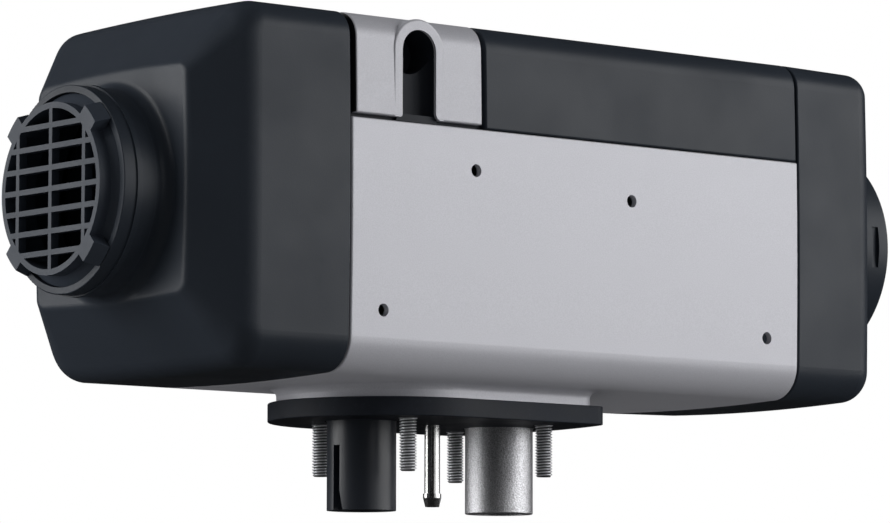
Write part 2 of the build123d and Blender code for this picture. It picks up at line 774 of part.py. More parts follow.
# Outlet cap: a tapered hood with rounded edges and a round hole for the nozzle.
# A lip all round its left edge reaches into the shells.
outlet_left_x = shell_right + seam_gap
cap_root_ring = band(cap_root_outline, lip_back_outline, under_z, over_z)
cap_lip_ring = band(lip_outline, lip_back_outline, under_z, over_z)
with BuildPart() as outlet_hollow:
    with BuildSketch(Plane.YZ.offset(outlet_left_x)):
        add(inner_outline)
    extrude(amount=outlet_face_x - outlet_left_x - shell_wall, taper=outlet_draft)
    fillet(outlet_hollow.faces().sort_by(Axis.X)[-1].edges(), outlet_edge_radius - shell_wall)
with BuildPart() as outlet_cap:
    with BuildSketch(Plane.YZ.offset(outlet_left_x)):
        add(outer_outline)
    extrude(amount=outlet_face_x - outlet_left_x, taper=outlet_draft)
    fillet(outlet_cap.faces().sort_by(Axis.X)[-1].edges(), outlet_edge_radius)
    fillet(outlet_cap.faces().sort_by(Axis.X)[0].edges(), seam_round)
    add(outlet_hollow.part, mode=Mode.SUBTRACT)
    with BuildSketch(Plane.YZ.offset(outlet_left_x)):
        add(cap_root_ring)
    extrude(amount=cap_lip)
    with BuildSketch(Plane.YZ.offset(shell_right - cap_lip)):
        add(cap_lip_ring)
    extrude(amount=2 * cap_lip)
    with BuildSketch(across(outlet_left_x)):
        Circle(outlet_nozzle_radius + outlet_shoulder + outlet_play)
    extrude(amount=2 * outlet_length, mode=Mode.SUBTRACT)
outlet_cap.part.label = "outlet_cap"
export_step(outlet_cap.part, "parts/outlet_cap.step")

# Outlet nozzle: a ring that passes through the cap, with a flange behind and a latch pocket
# on each side.
outlet_wall_x = outlet_face_x - shell_wall
with BuildPart() as outlet_nozzle:
    with BuildSketch(across(outlet_wall_x - outlet_rib)):
        Circle(outlet_nozzle_radius + outlet_rib)
    extrude(amount=outlet_rib)
    with BuildSketch(across(outlet_wall_x)):
        Circle(outlet_nozzle_radius + outlet_shoulder)
    extrude(amount=shell_wall)
    with BuildSketch(across(outlet_face_x)):
        Circle(outlet_nozzle_radius)
    extrude(amount=outlet_nozzle_length)
    with BuildSketch(across(outlet_wall_x - outlet_rib)):
        Circle(outlet_nozzle_radius - outlet_nozzle_wall)
    extrude(amount=outlet_rim_x - outlet_wall_x + outlet_rib, mode=Mode.SUBTRACT)
    for side in (-1, 1):
        with BuildSketch(Plane.XZ.offset(side * (outlet_nozzle_radius - latch_depth))):
            with Locations((outlet_rim_x - latch_setback, axis_z)):
                Rectangle(latch_width, latch_height)
        extrude(amount=side * outlet_nozzle_radius, mode=Mode.SUBTRACT)
outlet_nozzle.part.label = "outlet_nozzle"
export_step(outlet_nozzle.part, "parts/outlet_nozzle.step")

# ------------------------------------------------------------------- mounting flange

# Flange gasket: a thick rubber plate with holes for the studs and pipes.
gasket_outline = flange_outline(0, flange_corner)
with BuildPart() as flange_gasket:
    with BuildSketch():
        add(gasket_outline)
    extrude(amount=gasket_thickness)
    fillet(flange_gasket.edges().filter_by(Axis.Z, reverse=True), edge_round)
    with BuildSketch():
        with Locations(stud_places):
            Circle(stud_root + pipe_play)
        with Locations((air_stub_x, 0)):
            Circle(air_stub_radius + pipe_shoulder + pipe_play)
        with Locations((exhaust_x, 0)):
            Circle(exhaust_radius + pipe_shoulder + pipe_play)
        Circle(fuel_pipe_root + pipe_play)
    extrude(amount=gasket_thickness, mode=Mode.SUBTRACT)
flange_gasket.part.label = "flange_gasket"
export_step(flange_gasket.part, "parts/flange_gasket.step")

# Flange casting: a plate whose upper lip holds the lower shell down, with sockets for the two
# stubs, a seat for the fuel pipe's bush and threads for the studs.
plate_inset = collar_inset + shell_wall + lift_gap
plate_outline = flange_outline(plate_inset, collar_corner - shell_wall - lift_gap)
plate_lip_outline = flange_outline(collar_inset, collar_corner)
with BuildPart() as flange_casting:
    with BuildSketch(Plane.XY.offset(gasket_thickness)):
        add(plate_outline)
    extrude(amount=flange_plate)
    with BuildSketch(Plane.XY.offset(flange_top - flange_lip)):
        add(plate_lip_outline)
    extrude(amount=flange_lip)
    with BuildSketch(Plane.XY.offset(gasket_thickness)):
        with Locations((exhaust_x, 0)):
            Circle(exhaust_seat_radius)
        with Locations((air_stub_x, 0)):
            Circle(spigot_radius)
        with Locations(flange_screw_places):
            Circle(screw_radius + screw_play)
        Circle(fuel_pipe_root)
    extrude(amount=flange_plate, mode=Mode.SUBTRACT)
    with BuildSketch(Plane.XY.offset(gasket_thickness)):
        Circle(fuel_bush_radius)
    extrude(amount=fuel_bush_height, mode=Mode.SUBTRACT)
    with BuildSketch(Plane.XY.offset(gasket_thickness)):
        with Locations(stud_places):
            Circle(stud_root + thread_play)
    extrude(amount=stud_grip, mode=Mode.SUBTRACT)
    with BuildSketch(Plane.XY.offset(gasket_thickness)):
        with Locations(flange_screw_places):
            Circle(screw_head_radius + screw_play)
    extrude(amount=screw_head_height + screw_play, mode=Mode.SUBTRACT)
flange_casting.part.label = "flange_casting"
export_step(flange_casting.part, "parts/flange_casting.step")

# Exhaust stub: a cast pipe whose thicker top is pressed into the flange casting.
with BuildPart() as exhaust_stub:
    with BuildSketch(Plane.XY.offset(-exhaust_reach)):
        with Locations((exhaust_x, 0)):
            Circle(exhaust_radius)
    extrude(amount=exhaust_reach)
    fillet(exhaust_stub.faces().sort_by(Axis.Z)[0].edges(), edge_round)
    with BuildSketch(Plane.XY):
        with Locations((exhaust_x, 0)):
            Circle(exhaust_radius + pipe_shoulder)
    extrude(amount=gasket_thickness)
    with BuildSketch(Plane.XY.offset(gasket_thickness)):
        with Locations((exhaust_x, 0)):
            Circle(exhaust_seat_radius)
    extrude(amount=flange_plate)
    with BuildSketch(Plane.XY.offset(-exhaust_reach)):
        with Locations((exhaust_x, 0)):
            Circle(exhaust_bore)
    extrude(amount=exhaust_reach + flange_top, mode=Mode.SUBTRACT)
exhaust_stub.part.label = "exhaust_stub"
export_step(exhaust_stub.part, "parts/exhaust_stub.step")

# Flange screws: four screws up through the flange casting into the heat exchanger's neck.
flange_screw_head_z = gasket_thickness + screw_play
flange_screw_seat_z = flange_screw_head_z + screw_head_height
with BuildPart() as flange_screws:
    with BuildSketch(Plane.XY.offset(flange_screw_head_z)):
        with Locations(flange_screw_places):
            Circle(screw_head_radius)
    extrude(amount=screw_head_height)
    with BuildSketch(Plane.XY.offset(flange_screw_seat_z)):
        with Locations(flange_screw_places):
            Circle(screw_radius)
    extrude(amount=flange_top + flange_screw_depth - screw_play - flange_screw_seat_z)
flange_screws.part.label = "flange_screws"
export_step(flange_screws.part, "parts/flange_screws.step")

# Mounting studs: four studs screwed into the flange casting.
with BuildPart() as mounting_studs:
    with BuildSketch(Plane.XY.offset(-stud_reach)):
        with Locations(stud_places):
            Circle(stud_radius)
    extrude(amount=stud_reach)
    chamfer(mounting_studs.faces().group_by(Axis.Z)[0].edges(), stud_chamfer)
    with BuildSketch():
        with Locations(stud_places):
            Circle(stud_root)
    extrude(amount=gasket_thickness + stud_grip)
mounting_studs.part.label = "mounting_studs"
export_step(mounting_studs.part, "parts/mounting_studs.step")

# Combustion-air stub: a plastic pipe whose top plugs into the flange casting. The slot in its
# side opens wider at the mouth.
turn_cos = cos(radians(air_stub_slot_turn))
turn_sin = sin(radians(air_stub_slot_turn))
air_stub_root = Plane(origin=(air_stub_x, 0, 0), x_dir=(-turn_sin, turn_cos, 0), z_dir=(0, 0, 1))
air_slot_plane = Plane(
    origin=(air_stub_x, 0, -air_stub_reach),
    x_dir=(turn_sin, -turn_cos, 0),
    z_dir=(-turn_cos, -turn_sin, 0),
)
with BuildPart() as air_stub:
    with BuildSketch(air_stub_root.offset(-air_stub_reach)):
        Circle(air_stub_radius)
    extrude(amount=air_stub_reach)
    with BuildSketch(air_stub_root):
        Circle(air_stub_radius + pipe_shoulder)
    extrude(amount=gasket_thickness)
    with BuildSketch(air_stub_root.offset(gasket_thickness)):
        Circle(spigot_radius)
    extrude(amount=spigot_height)
    with BuildSketch(air_stub_root.offset(-air_stub_reach)):
        Circle(air_stub_bore)
    extrude(amount=air_stub_reach + gasket_thickness + spigot_height, mode=Mode.SUBTRACT)
    with BuildSketch(air_slot_plane):
        Rectangle(air_stub_slot_width, air_stub_slot_height, align=(Align.CENTER, Align.MIN))
        with BuildLine():
            Polyline(
                (air_stub_slot_width / 2, 0),
                (air_stub_slot_width / 2 + slot_flare, 0),
                (air_stub_slot_width / 2, slot_flare_height),
                close=True,
            )
        make_face()
    extrude(amount=2 * air_stub_radius, mode=Mode.SUBTRACT)
air_stub.part.label = "combustion_air_stub"
export_step(air_stub.part, "parts/combustion_air_stub.step")

# Fuel pipe: a steel tube with a hose bead, up to the combustion chamber.
fuel_pipe_top = axis_z - chamber_radius + sheet_wall
bead_top = -fuel_pipe_reach + fuel_bead_height
with BuildPart() as fuel_pipe:
    with BuildSketch(Plane.XZ):
        with BuildLine():
            Polyline(
                (fuel_pipe_bore, -fuel_pipe_reach),
                (fuel_tip_radius, -fuel_pipe_reach),
                (fuel_bead_radius, bead_top - fuel_bead_height / 3),
                (fuel_bead_radius, bead_top),
                (fuel_pipe_radius, bead_top),
                (fuel_pipe_radius, 0),
                (fuel_pipe_root, 0),
                (fuel_pipe_root, fuel_pipe_top),
                (fuel_pipe_bore, fuel_pipe_top),
                close=True,
            )
        make_face()
    revolve(axis=Axis.Z)
fuel_pipe.part.label = "fuel_pipe"
export_step(fuel_pipe.part, "parts/fuel_pipe.step")

# Fuel pipe bush: a rubber ring that seals the pipe in the flange.
with BuildPart() as fuel_bush:
    with BuildSketch(Plane.XY.offset(gasket_thickness)):
        Circle(fuel_bush_radius)
        Circle(fuel_pipe_root, mode=Mode.SUBTRACT)
    extrude(amount=fuel_bush_height)
fuel_bush.part.label = "fuel_pipe_bush"
export_step(fuel_bush.part, "parts/fuel_pipe_bush.step")

# ---------------------------------------------------------------- heat exchanger, burner

exchanger_face = burner_joint(end_ring_radius)
blower_face = burner_joint(blower_radius)
exchanger_bore = exchanger_radius - exchanger_wall
fin_root = exchanger_radius - exchanger_wall / 2
fin_left_x = exchanger_left + end_ring_thickness
top_bosses = [(glow_x, glow_boss_radius), (sensor_x, sensor_boss_length / 2)]

# Heat exchanger: one casting of a closed drum with outer fins, and the neck under it with the
# exhaust passage and the air duct.
with BuildPart() as heat_exchanger:
    with BuildSketch(across(exchanger_left)):
        Circle(exchanger_radius)
    extrude(amount=exchanger_length)
    with BuildSketch(across(fin_left_x)):
        with PolarLocations((fin_root + fin_radius) / 2, fin_count, start_angle=180 / fin_count):
            Rectangle(fin_radius - fin_root, fin_thickness)
    extrude(amount=exchanger_length - end_ring_thickness - exchanger_end_wall)
    with BuildSketch(Plane.XY.offset(axis_z + exchanger_radius)):
        for boss_x, boss_reach in top_bosses:
            with Locations((boss_x, 0)):
                Rectangle(2 * (boss_reach + boss_clearance), 2 * (boss_reach + boss_clearance))
    extrude(amount=fin_radius, mode=Mode.SUBTRACT)
    with BuildSketch(Plane.XY.offset(axis_z)):
        with Locations((glow_x, 0)):
            Circle(glow_boss_radius)
    extrude(amount=glow_boss_top)
    with BuildSketch(Plane.XY.offset(axis_z)):
        with Locations((sensor_x, 0)):
            Rectangle(sensor_boss_length, sensor_boss_width)
    extrude(amount=sensor_boss_top)
    with BuildSketch(across(exchanger_left)):
        add(exchanger_face)
    extrude(amount=end_ring_thickness)
    with BuildSketch(Plane.XY.offset(flange_top)):
        with Locations((exchanger_left, 0)):
            Rectangle(neck_length, 2 * neck_half_width, align=(Align.MIN, Align.CENTER))
    extrude(amount=axis_z - flange_top)
    with BuildSketch(across(exchanger_left)):
        Circle(exchanger_bore)
    extrude(amount=exchanger_length - exchanger_end_wall, mode=Mode.SUBTRACT)
    with BuildSketch(Plane.XY.offset(flange_top)):
        with Locations((exhaust_x, 0)):
            Circle(exhaust_bore)
        Circle(fuel_pipe_root)
    extrude(amount=axis_z - flange_top, mode=Mode.SUBTRACT)
    with BuildSketch(Plane.XY.offset(flange_top)):
        with Locations((air_stub_x, 0)):
            Circle(duct_radius)
    extrude(amount=duct_z - flange_top, mode=Mode.SUBTRACT)
    with BuildSketch(Plane.XY.offset(flange_top)):
        with Locations(flange_screw_places):
            Circle(screw_radius + thread_play)
    extrude(amount=flange_screw_depth, mode=Mode.SUBTRACT)
    with BuildSketch(across(exchanger_left)):
        with Locations((0, -duct_drop)):
            Circle(duct_radius)
    extrude(amount=air_stub_x - exchanger_left, mode=Mode.SUBTRACT)
    with BuildSketch(across(exchanger_left)):
        with PolarLocations(burner_screw_circle, 4, start_angle=45):
            Circle(screw_radius + thread_play)
    extrude(amount=burner_screw_depth, mode=Mode.SUBTRACT)
    with BuildSketch(Plane.XY.offset(axis_z)):
        with Locations((glow_x, 0)):
            Circle(glow_thread_radius)
    extrude(amount=body_height, mode=Mode.SUBTRACT)
heat_exchanger.part.label = "heat_exchanger"
export_step(heat_exchanger.part, "parts/heat_exchanger.step")

# Combustion chamber: a sheet-metal tube with air holes. Its outer ring parts the fresh air
# from the exhaust gas.
chamber_ring_x = chamber_right - flame_lap - sheet_wall
with BuildPart() as combustion_chamber:
    with BuildSketch(across(exchanger_left)):
        Circle(chamber_radius)
    extrude(amount=chamber_length)
    with BuildSketch(across(chamber_ring_x)):
        Circle(exchanger_bore - chamber_ring_play)
    extrude(amount=sheet_wall)
    with BuildSketch(across(exchanger_left)):
        Circle(chamber_radius - sheet_wall)
    extrude(amount=chamber_length, mode=Mode.SUBTRACT)
    for row in range(air_hole_rows):
        row_x = exchanger_left + air_hole_first + row * air_hole_pitch
        for hole in range(air_holes_per_row):
            with BuildSketch(radial(row_x, (hole + 0.5) * 360 / air_holes_per_row)):
                Circle(air_hole_radius)
            extrude(amount=chamber_radius, mode=Mode.SUBTRACT)
    with BuildSketch(Plane.XY):
        Circle(fuel_pipe_root)
    extrude(amount=axis_z, mode=Mode.SUBTRACT)
    with BuildSketch(Plane.XY.offset(axis_z)):
        with Locations((glow_x, 0)):
            Circle(glow_tip_radius + screw_play)
    extrude(amount=chamber_radius, mode=Mode.SUBTRACT)
combustion_chamber.part.label = "combustion_chamber"
export_step(combustion_chamber.part, "parts/combustion_chamber.step")

# Flame tube: a plain tube pushed over the open end of the chamber.
with BuildPart() as flame_tube:
    with BuildSketch(across(chamber_right - flame_lap)):
        Circle(chamber_radius + sheet_wall)
        Circle(chamber_radius, mode=Mode.SUBTRACT)
    extrude(amount=flame_tube_length)
flame_tube.part.label = "flame_tube"
export_step(flame_tube.part, "parts/flame_tube.step")

# Evaporator mat: a felt ring that lines the chamber where the fuel arrives.
mat_outside = chamber_radius - sheet_wall
with BuildPart() as evaporator_mat:
    with BuildSketch(across(-mat_length / 2)):
        Circle(mat_outside)
        Circle(mat_outside - mat_thickness, mode=Mode.SUBTRACT)
    extrude(amount=mat_length)
evaporator_mat.part.label = "evaporator_mat"
export_step(evaporator_mat.part, "parts/evaporator_mat.step")

# Burner plate: a sheet disc that closes the drum, with a throat and a ring of air ports.
with BuildPart() as burner_disc:
    with BuildSketch(across(burner_plate_x)):
        add(blower_face)
        Circle(burner_throat, mode=Mode.SUBTRACT)
        with PolarLocations(port_circle, port_count):
            Circle(port_radius, mode=Mode.SUBTRACT)
        with PolarLocations(burner_screw_circle, 4, start_angle=45):
            Circle(screw_radius + screw_play, mode=Mode.SUBTRACT)
        with Locations((0, -duct_drop)):
            Circle(duct_radius, mode=Mode.SUBTRACT)
    extrude(amount=burner_plate)
burner_disc.part.label = "burner_plate"
export_step(burner_disc.part, "parts/burner_plate.step")

# Burner gasket: a thin ring between the burner plate and the blower.
with BuildPart() as burner_gasket:
    with BuildSketch(across(blower_face_x)):
        add(blower_face)
        Circle(exchanger_bore, mode=Mode.SUBTRACT)
        with PolarLocations(burner_screw_circle, 4, start_angle=45):
            Circle(screw_radius + screw_play, mode=Mode.SUBTRACT)
        with Locations((0, -duct_drop)):
            Circle(duct_radius, mode=Mode.SUBTRACT)
    extrude(amount=burner_gasket_thickness)
burner_gasket.part.label = "burner_gasket"
export_step(burner_gasket.part, "parts/burner_gasket.step")

# Glow plug: screwed into its boss, with the tip in the chamber and a terminal on top.
glow_seat_z = axis_z + glow_boss_top
glow_tip_z = axis_z + chamber_radius - glow_tip_depth
with BuildPart() as glow_plug:
    with BuildSketch(Plane.XY.offset(axis_z + exchanger_radius - exchanger_wall)):
        with Locations((glow_x, 0)):
            Circle(glow_thread_radius - thread_play)
    extrude(amount=glow_boss_top - exchanger_radius + exchanger_wall)
    with BuildSketch(Plane.XY.offset(glow_seat_z)):
        with Locations((glow_x, 0)):
            RegularPolygon(glow_hex / 2, 6, major_radius=False)
    extrude(amount=glow_hex_height)
    with BuildSketch(Plane.XY.offset(glow_tip_z)):
        with Locations((glow_x, 0)):
            Circle(glow_tip_radius)
    extrude(amount=glow_seat_z - glow_tip_z)
    with BuildSketch(Plane.XY.offset(glow_seat_z + glow_hex_height)):
        with Locations((glow_x, 0)):
            Circle(glow_terminal_radius)
    extrude(amount=glow_terminal_height)
glow_plug.part.label = "glow_plug"
export_step(glow_plug.part, "parts/glow_plug.step")

# Overheat sensor: a small block held on its boss by a spring clip.
sensor_seat_z = axis_z + sensor_boss_top
with BuildPart() as overheat_sensor:
    with BuildSketch(Plane.XY.offset(sensor_seat_z)):
        with Locations((sensor_x, 0)):
            Rectangle(sensor_length, sensor_width)
    extrude(amount=sensor_height)
    fillet(overheat_sensor.edges().filter_by(Axis.Z), clip_thickness)
overheat_sensor.part.label = "overheat_sensor"
export_step(overheat_sensor.part, "parts/overheat_sensor.step")

# Sensor clip: a bent strip over the sensor, with a foot on each side.
clip_y = sensor_width / 2
clip_z = sensor_seat_z + sensor_height
foot_y = sensor_boss_width / 2
with BuildPart() as sensor_clip:
    with BuildSketch(Plane.YZ.offset(sensor_x - clip_length / 2)):
        with BuildLine():
            Polyline(
                (-foot_y, sensor_seat_z),
                (-clip_y, sensor_seat_z),
                (-clip_y, clip_z),
                (clip_y, clip_z),
                (clip_y, sensor_seat_z),
                (foot_y, sensor_seat_z),
                (foot_y, sensor_seat_z + clip_thickness),
                (clip_y + clip_thickness, sensor_seat_z + clip_thickness),
                (clip_y + clip_thickness, clip_z + clip_thickness),
                (-clip_y - clip_thickness, clip_z + clip_thickness),
                (-clip_y - clip_thickness, sensor_seat_z + clip_thickness),
                (-foot_y, sensor_seat_z + clip_thickness),
                close=True,
            )
        make_face()
    extrude(amount=clip_length)
sensor_clip.part.label = "sensor_clip"
export_step(sensor_clip.part, "parts/sensor_clip.step")

# ------------------------------------------------------------------- combustion-air blower

# Blower housing: a cup round the combustion-air fan. Air comes in from the duct below and
# leaves through the throat and the ring of ports.
with BuildPart() as blower_housing:
    with BuildSketch(across(blower_left_x)):
        add(blower_face)
    extrude(amount=blower_depth + blower_wall)
    with BuildSketch(across(blower_left_x)):
        Circle(blower_bore)
    extrude(amount=blower_depth, mode=Mode.SUBTRACT)
    with BuildSketch(across(blower_face_x)):
        with Locations((0, -duct_drop)):
            Circle(duct_radius)
    extrude(amount=-duct_depth, mode=Mode.SUBTRACT)
    with BuildSketch(across(blower_face_x - duct_depth)):
        with Locations((0, -duct_drop)):
            Rectangle(duct_radius, duct_drop - blower_bore / 2, align=(Align.CENTER, Align.MIN))
    extrude(amount=duct_slot, mode=Mode.SUBTRACT)
    with BuildSketch(across(blower_face_x)):
        Circle(burner_throat)
        with PolarLocations(port_circle, port_count):
            Circle(port_radius)
    extrude(amount=-blower_wall, mode=Mode.SUBTRACT)
    with BuildSketch(across(blower_face_x)):
        with PolarLocations(burner_screw_circle, 4, start_angle=45):
            Circle(screw_radius + screw_play)
    extrude(amount=-blower_wall - blower_depth, mode=Mode.SUBTRACT)
blower_housing.part.label = "blower_housing"
export_step(blower_housing.part, "parts/blower_housing.step")

# Blower plate: closes the cup on the motor's side and carries the motor.
with BuildPart() as blower_cover:
    with BuildSketch(across(blower_plate_x)):
        add(blower_face)
        Circle(shaft_radius + shaft_play, mode=Mode.SUBTRACT)
        with PolarLocations(burner_screw_circle, 4, start_angle=45):
            Circle(screw_radius + screw_play, mode=Mode.SUBTRACT)
        with PolarLocations(motor_screw_circle, motor_screw_count, start_angle=30):
            Circle(screw_radius + thread_play, mode=Mode.SUBTRACT)
    extrude(amount=blower_plate)
blower_cover.part.label = "blower_plate"
export_step(blower_cover.part, "parts/blower_plate.step")

# Burner screws: four long screws through blower and burner plate into the casting.
with BuildPart() as burner_screws:
    with BuildSketch(across(blower_plate_x)):
        with PolarLocations(burner_screw_circle, 4, start_angle=45):
            Circle(screw_radius)
    extrude(amount=exchanger_left + burner_screw_depth - screw_play - blower_plate_x)
    with BuildSketch(across(blower_plate_x)):
        with PolarLocations(burner_screw_circle, 4, start_angle=45):
            Circle(screw_head_radius)
    extrude(amount=-screw_head_height)
burner_screws.part.label = "burner_screws"
export_step(burner_screws.part, "parts/burner_screws.step")

# Combustion-air fan: a disc with short straight blades round its edge.
burner_fan_x = blower_left_x + burner_fan_gap
with BuildPart() as combustion_fan:
    with BuildSketch(across(burner_fan_x)):
        Circle(burner_fan_radius)
    extrude(amount=burner_fan_disc)
    with BuildSketch(across(burner_fan_x)):
        Circle(burner_fan_hub)
        with PolarLocations(burner_fan_radius - burner_fan_blade_length / 2, burner_fan_blades):
            Rectangle(burner_fan_blade_length, burner_fan_disc)
        Circle(burner_fan_radius, mode=Mode.INTERSECT)
    extrude(amount=burner_fan_disc + burner_fan_blade_height)
    with BuildSketch(across(burner_fan_x)):
        Circle(shaft_radius)
    extrude(amount=blower_depth, mode=Mode.SUBTRACT)
combustion_fan.part.label = "combustion_fan"
export_step(combustion_fan.part, "parts/combustion_fan.step")

# ------------------------------------------------------------------- motor and hot-air fan

# Motor housing: a can with a bearing seat in its left end and four posts for the unit.
stator_radius = motor_radius - motor_wall
with BuildPart() as motor_housing:
    with BuildSketch(across(motor_left)):
        Circle(motor_radius)
    extrude(amount=motor_flange_x - motor_left)
    with BuildSketch(Plane.XY.offset(axis_z)):
        with Locations(post_places):
            Rectangle(post_width, post_width)
    extrude(amount=unit_low - axis_z)
    with BuildSketch(across(motor_left + motor_wall)):
        Circle(stator_radius)
    extrude(amount=motor_flange_x - motor_left, mode=Mode.SUBTRACT)
    with BuildSketch(across(motor_left)):
        Circle(bearing_radius + bearing_seat_wall)
    extrude(amount=motor_wall + bearing_width)
    with BuildSketch(across(motor_left + motor_wall)):
        Circle(bearing_radius)
    extrude(amount=bearing_width, mode=Mode.SUBTRACT)
    with BuildSketch(across(motor_left)):
        Circle(shaft_radius + shaft_play)
    extrude(amount=motor_wall, mode=Mode.SUBTRACT)
    with BuildSketch(Plane.XY.offset(unit_low)):
        with Locations(post_places):
            Circle(screw_radius + thread_play)
    extrude(amount=-unit_screw_depth, mode=Mode.SUBTRACT)
motor_housing.part.label = "motor_housing"
export_step(motor_housing.part, "parts/motor_housing.step")

# Motor flange: closes the can, seats the other bearing and has three ears for screws.
with BuildPart() as motor_flange:
    with BuildSketch(across(motor_flange_x)):
        Circle(motor_radius)
        with PolarLocations(motor_screw_circle, motor_screw_count, start_angle=30):
            Circle(motor_ear_radius)
    extrude(amount=bearing_seat_wall)
    with BuildSketch(across(motor_flange_x - bearing_width)):
        Circle(bearing_radius + bearing_seat_wall)
    extrude(amount=bearing_width)
    with BuildSketch(across(motor_flange_x - bearing_width)):
        Circle(bearing_radius)
    extrude(amount=bearing_width, mode=Mode.SUBTRACT)
    with BuildSketch(across(motor_flange_x)):
        Circle(shaft_radius + shaft_play)
        with PolarLocations(motor_screw_circle, motor_screw_count, start_angle=30):
            Circle(screw_radius + screw_play)
    extrude(amount=bearing_seat_wall, mode=Mode.SUBTRACT)
motor_flange.part.label = "motor_flange"
export_step(motor_flange.part, "parts/motor_flange.step")

# Motor screws: three screws through the ears into the blower plate.
with BuildPart() as motor_screws:
    with BuildSketch(across(motor_flange_x)):
        with PolarLocations(motor_screw_circle, motor_screw_count, start_angle=30):
            Circle(screw_radius)
    extrude(amount=bearing_seat_wall + blower_plate)
    with BuildSketch(across(motor_flange_x)):
        with PolarLocations(motor_screw_circle, motor_screw_count, start_angle=30):
            Circle(screw_head_radius)
    extrude(amount=-screw_head_height)
motor_screws.part.label = "motor_screws"
export_step(motor_screws.part, "parts/motor_screws.step")

# Motor bearings: two bearings, one in each seat.
with BuildPart() as motor_bearings:
    for bearing_x in (motor_left + motor_wall, motor_flange_x - bearing_width):
        with BuildSketch(across(bearing_x)):
            Circle(bearing_radius)
            Circle(shaft_radius + running_play, mode=Mode.SUBTRACT)
        extrude(amount=bearing_width)
motor_bearings.part.label = "motor_bearings"
export_step(motor_bearings.part, "parts/motor_bearings.step")

# Motor stator: a slotted iron ring.
motor_middle_x = (motor_left + motor_wall + motor_flange_x) / 2
slot_radius = (stator_bore + stator_radius) / 2
with BuildPart() as motor_stator:
    with BuildSketch(across(motor_middle_x - stator_length / 2)):
        Circle(stator_radius)
        Circle(stator_bore, mode=Mode.SUBTRACT)
        with PolarLocations(slot_radius, stator_slots):
            Rectangle(slot_depth, slot_width, mode=Mode.SUBTRACT)
    extrude(amount=stator_length)
motor_stator.part.label = "motor_stator"
export_step(motor_stator.part, "parts/motor_stator.step")

# Motor coils: one block of winding in each slot.
with BuildPart() as motor_coils:
    with BuildSketch(across(motor_middle_x - coil_length / 2)):
        with PolarLocations(slot_radius, stator_slots):
            Rectangle(slot_depth - 2 * coil_play, slot_width - 2 * coil_play)
    extrude(amount=coil_length)
motor_coils.part.label = "motor_coils"
export_step(motor_coils.part, "parts/motor_coils.step")

# Rotor magnet: a ring on the shaft inside the stator.
with BuildPart() as rotor_magnet:
    with BuildSketch(across(motor_middle_x - magnet_length / 2)):
        Circle(magnet_radius)
        Circle(shaft_radius, mode=Mode.SUBTRACT)
    extrude(amount=magnet_length)
rotor_magnet.part.label = "rotor_magnet"
export_step(rotor_magnet.part, "parts/rotor_magnet.step")

# Motor shaft: from the nose of the hot-air fan to the hub of the combustion-air fan.
shaft_left_x = fan_left + fan_nose
shaft_right_x = burner_fan_x + burner_fan_disc + burner_fan_blade_height
with BuildPart() as motor_shaft:
    with BuildSketch(across(shaft_left_x)):
        Circle(shaft_radius)
    extrude(amount=shaft_right_x - shaft_left_x)
motor_shaft.part.label = "motor_shaft"
export_step(motor_shaft.part, "parts/motor_shaft.step")

# Hot-air fan: a hollow hub with a rounded nose and twisted blades.
blade_middle_x = fan_left + fan_nose + (fan_length - fan_nose) / 2
with BuildPart() as fan_rotor:
    with BuildSketch(Plane.XY.offset(axis_z)):
        with BuildLine():
            Line((fan_left, 0), (fan_right, 0))
            Line((fan_right, 0), (fan_right, fan_hub_radius))
            Line((fan_right, fan_hub_radius), (fan_left + fan_nose, fan_hub_radius))
            ThreePointArc(
                (fan_left + fan_nose, fan_hub_radius),
                (fan_left + fan_nose * 0.3, fan_hub_radius * 0.7),
                (fan_left, 0),
            )
        make_face()
    revolve(axis=Axis((0, 0, axis_z), (1, 0, 0)))
    for blade in range(fan_blades):
        blade_plane = radial(blade_middle_x, blade * 360 / fan_blades)
        with BuildSketch(blade_plane.offset(fan_hub_radius - fan_blade_thickness)):
            Rectangle(fan_blade_chord, fan_blade_thickness, rotation=fan_root_pitch)
        with BuildSketch(blade_plane.offset(fan_radius + fan_blade_thickness)):
            Rectangle(fan_blade_chord, fan_blade_thickness, rotation=fan_tip_pitch)
        loft()
    with BuildSketch(across(fan_left)):
        Circle(fan_radius)
    extrude(amount=fan_length, mode=Mode.INTERSECT)
    with BuildSketch(across(fan_right)):
        Circle(fan_hub_radius - fan_hub_wall)
        Circle(fan_collar_radius, mode=Mode.SUBTRACT)
    extrude(amount=fan_nose - fan_length + fan_hub_wall, mode=Mode.SUBTRACT)
    with BuildSketch(across(fan_right)):
        Circle(shaft_radius)
    extrude(amount=fan_nose - fan_length, mode=Mode.SUBTRACT)
fan_rotor.part.label = "hot_air_fan"
export_step(fan_rotor.part, "parts/hot_air_fan.step")

# Fan clip: a ring that keeps the hot-air fan on its shaft.
with BuildPart() as fan_clip:
    with BuildSketch(across(fan_right)):
        Circle(fan_collar_radius)
        Circle(shaft_radius, mode=Mode.SUBTRACT)
    extrude(amount=fan_collar_length)
fan_clip.part.label = "fan_clip"
export_step(fan_clip.part, "parts/fan_clip.step")

# Air guide: a wall across the intake cap with a ring round the hot-air fan.
guide_bore = fan_radius + fan_shroud_play
with BuildPart() as air_guide:
    with BuildSketch(Plane.YZ.offset(fan_right - guide_wall_setback)):
        add(inner_outline)
    extrude(amount=bulkhead_thickness)
    with BuildSketch(across(fan_left + guide_ring_setback)):
        Circle(guide_bore + air_guide_wall)
    extrude(amount=fan_length - guide_ring_setback)
    with BuildSketch(across(fan_left)):
        Circle(guide_bore)
    extrude(amount=fan_length, mode=Mode.SUBTRACT)
air_guide.part.label = "air_guide"
export_step(air_guide.part, "parts/air_guide.step")

# ------------------------------------------------------------------- control unit

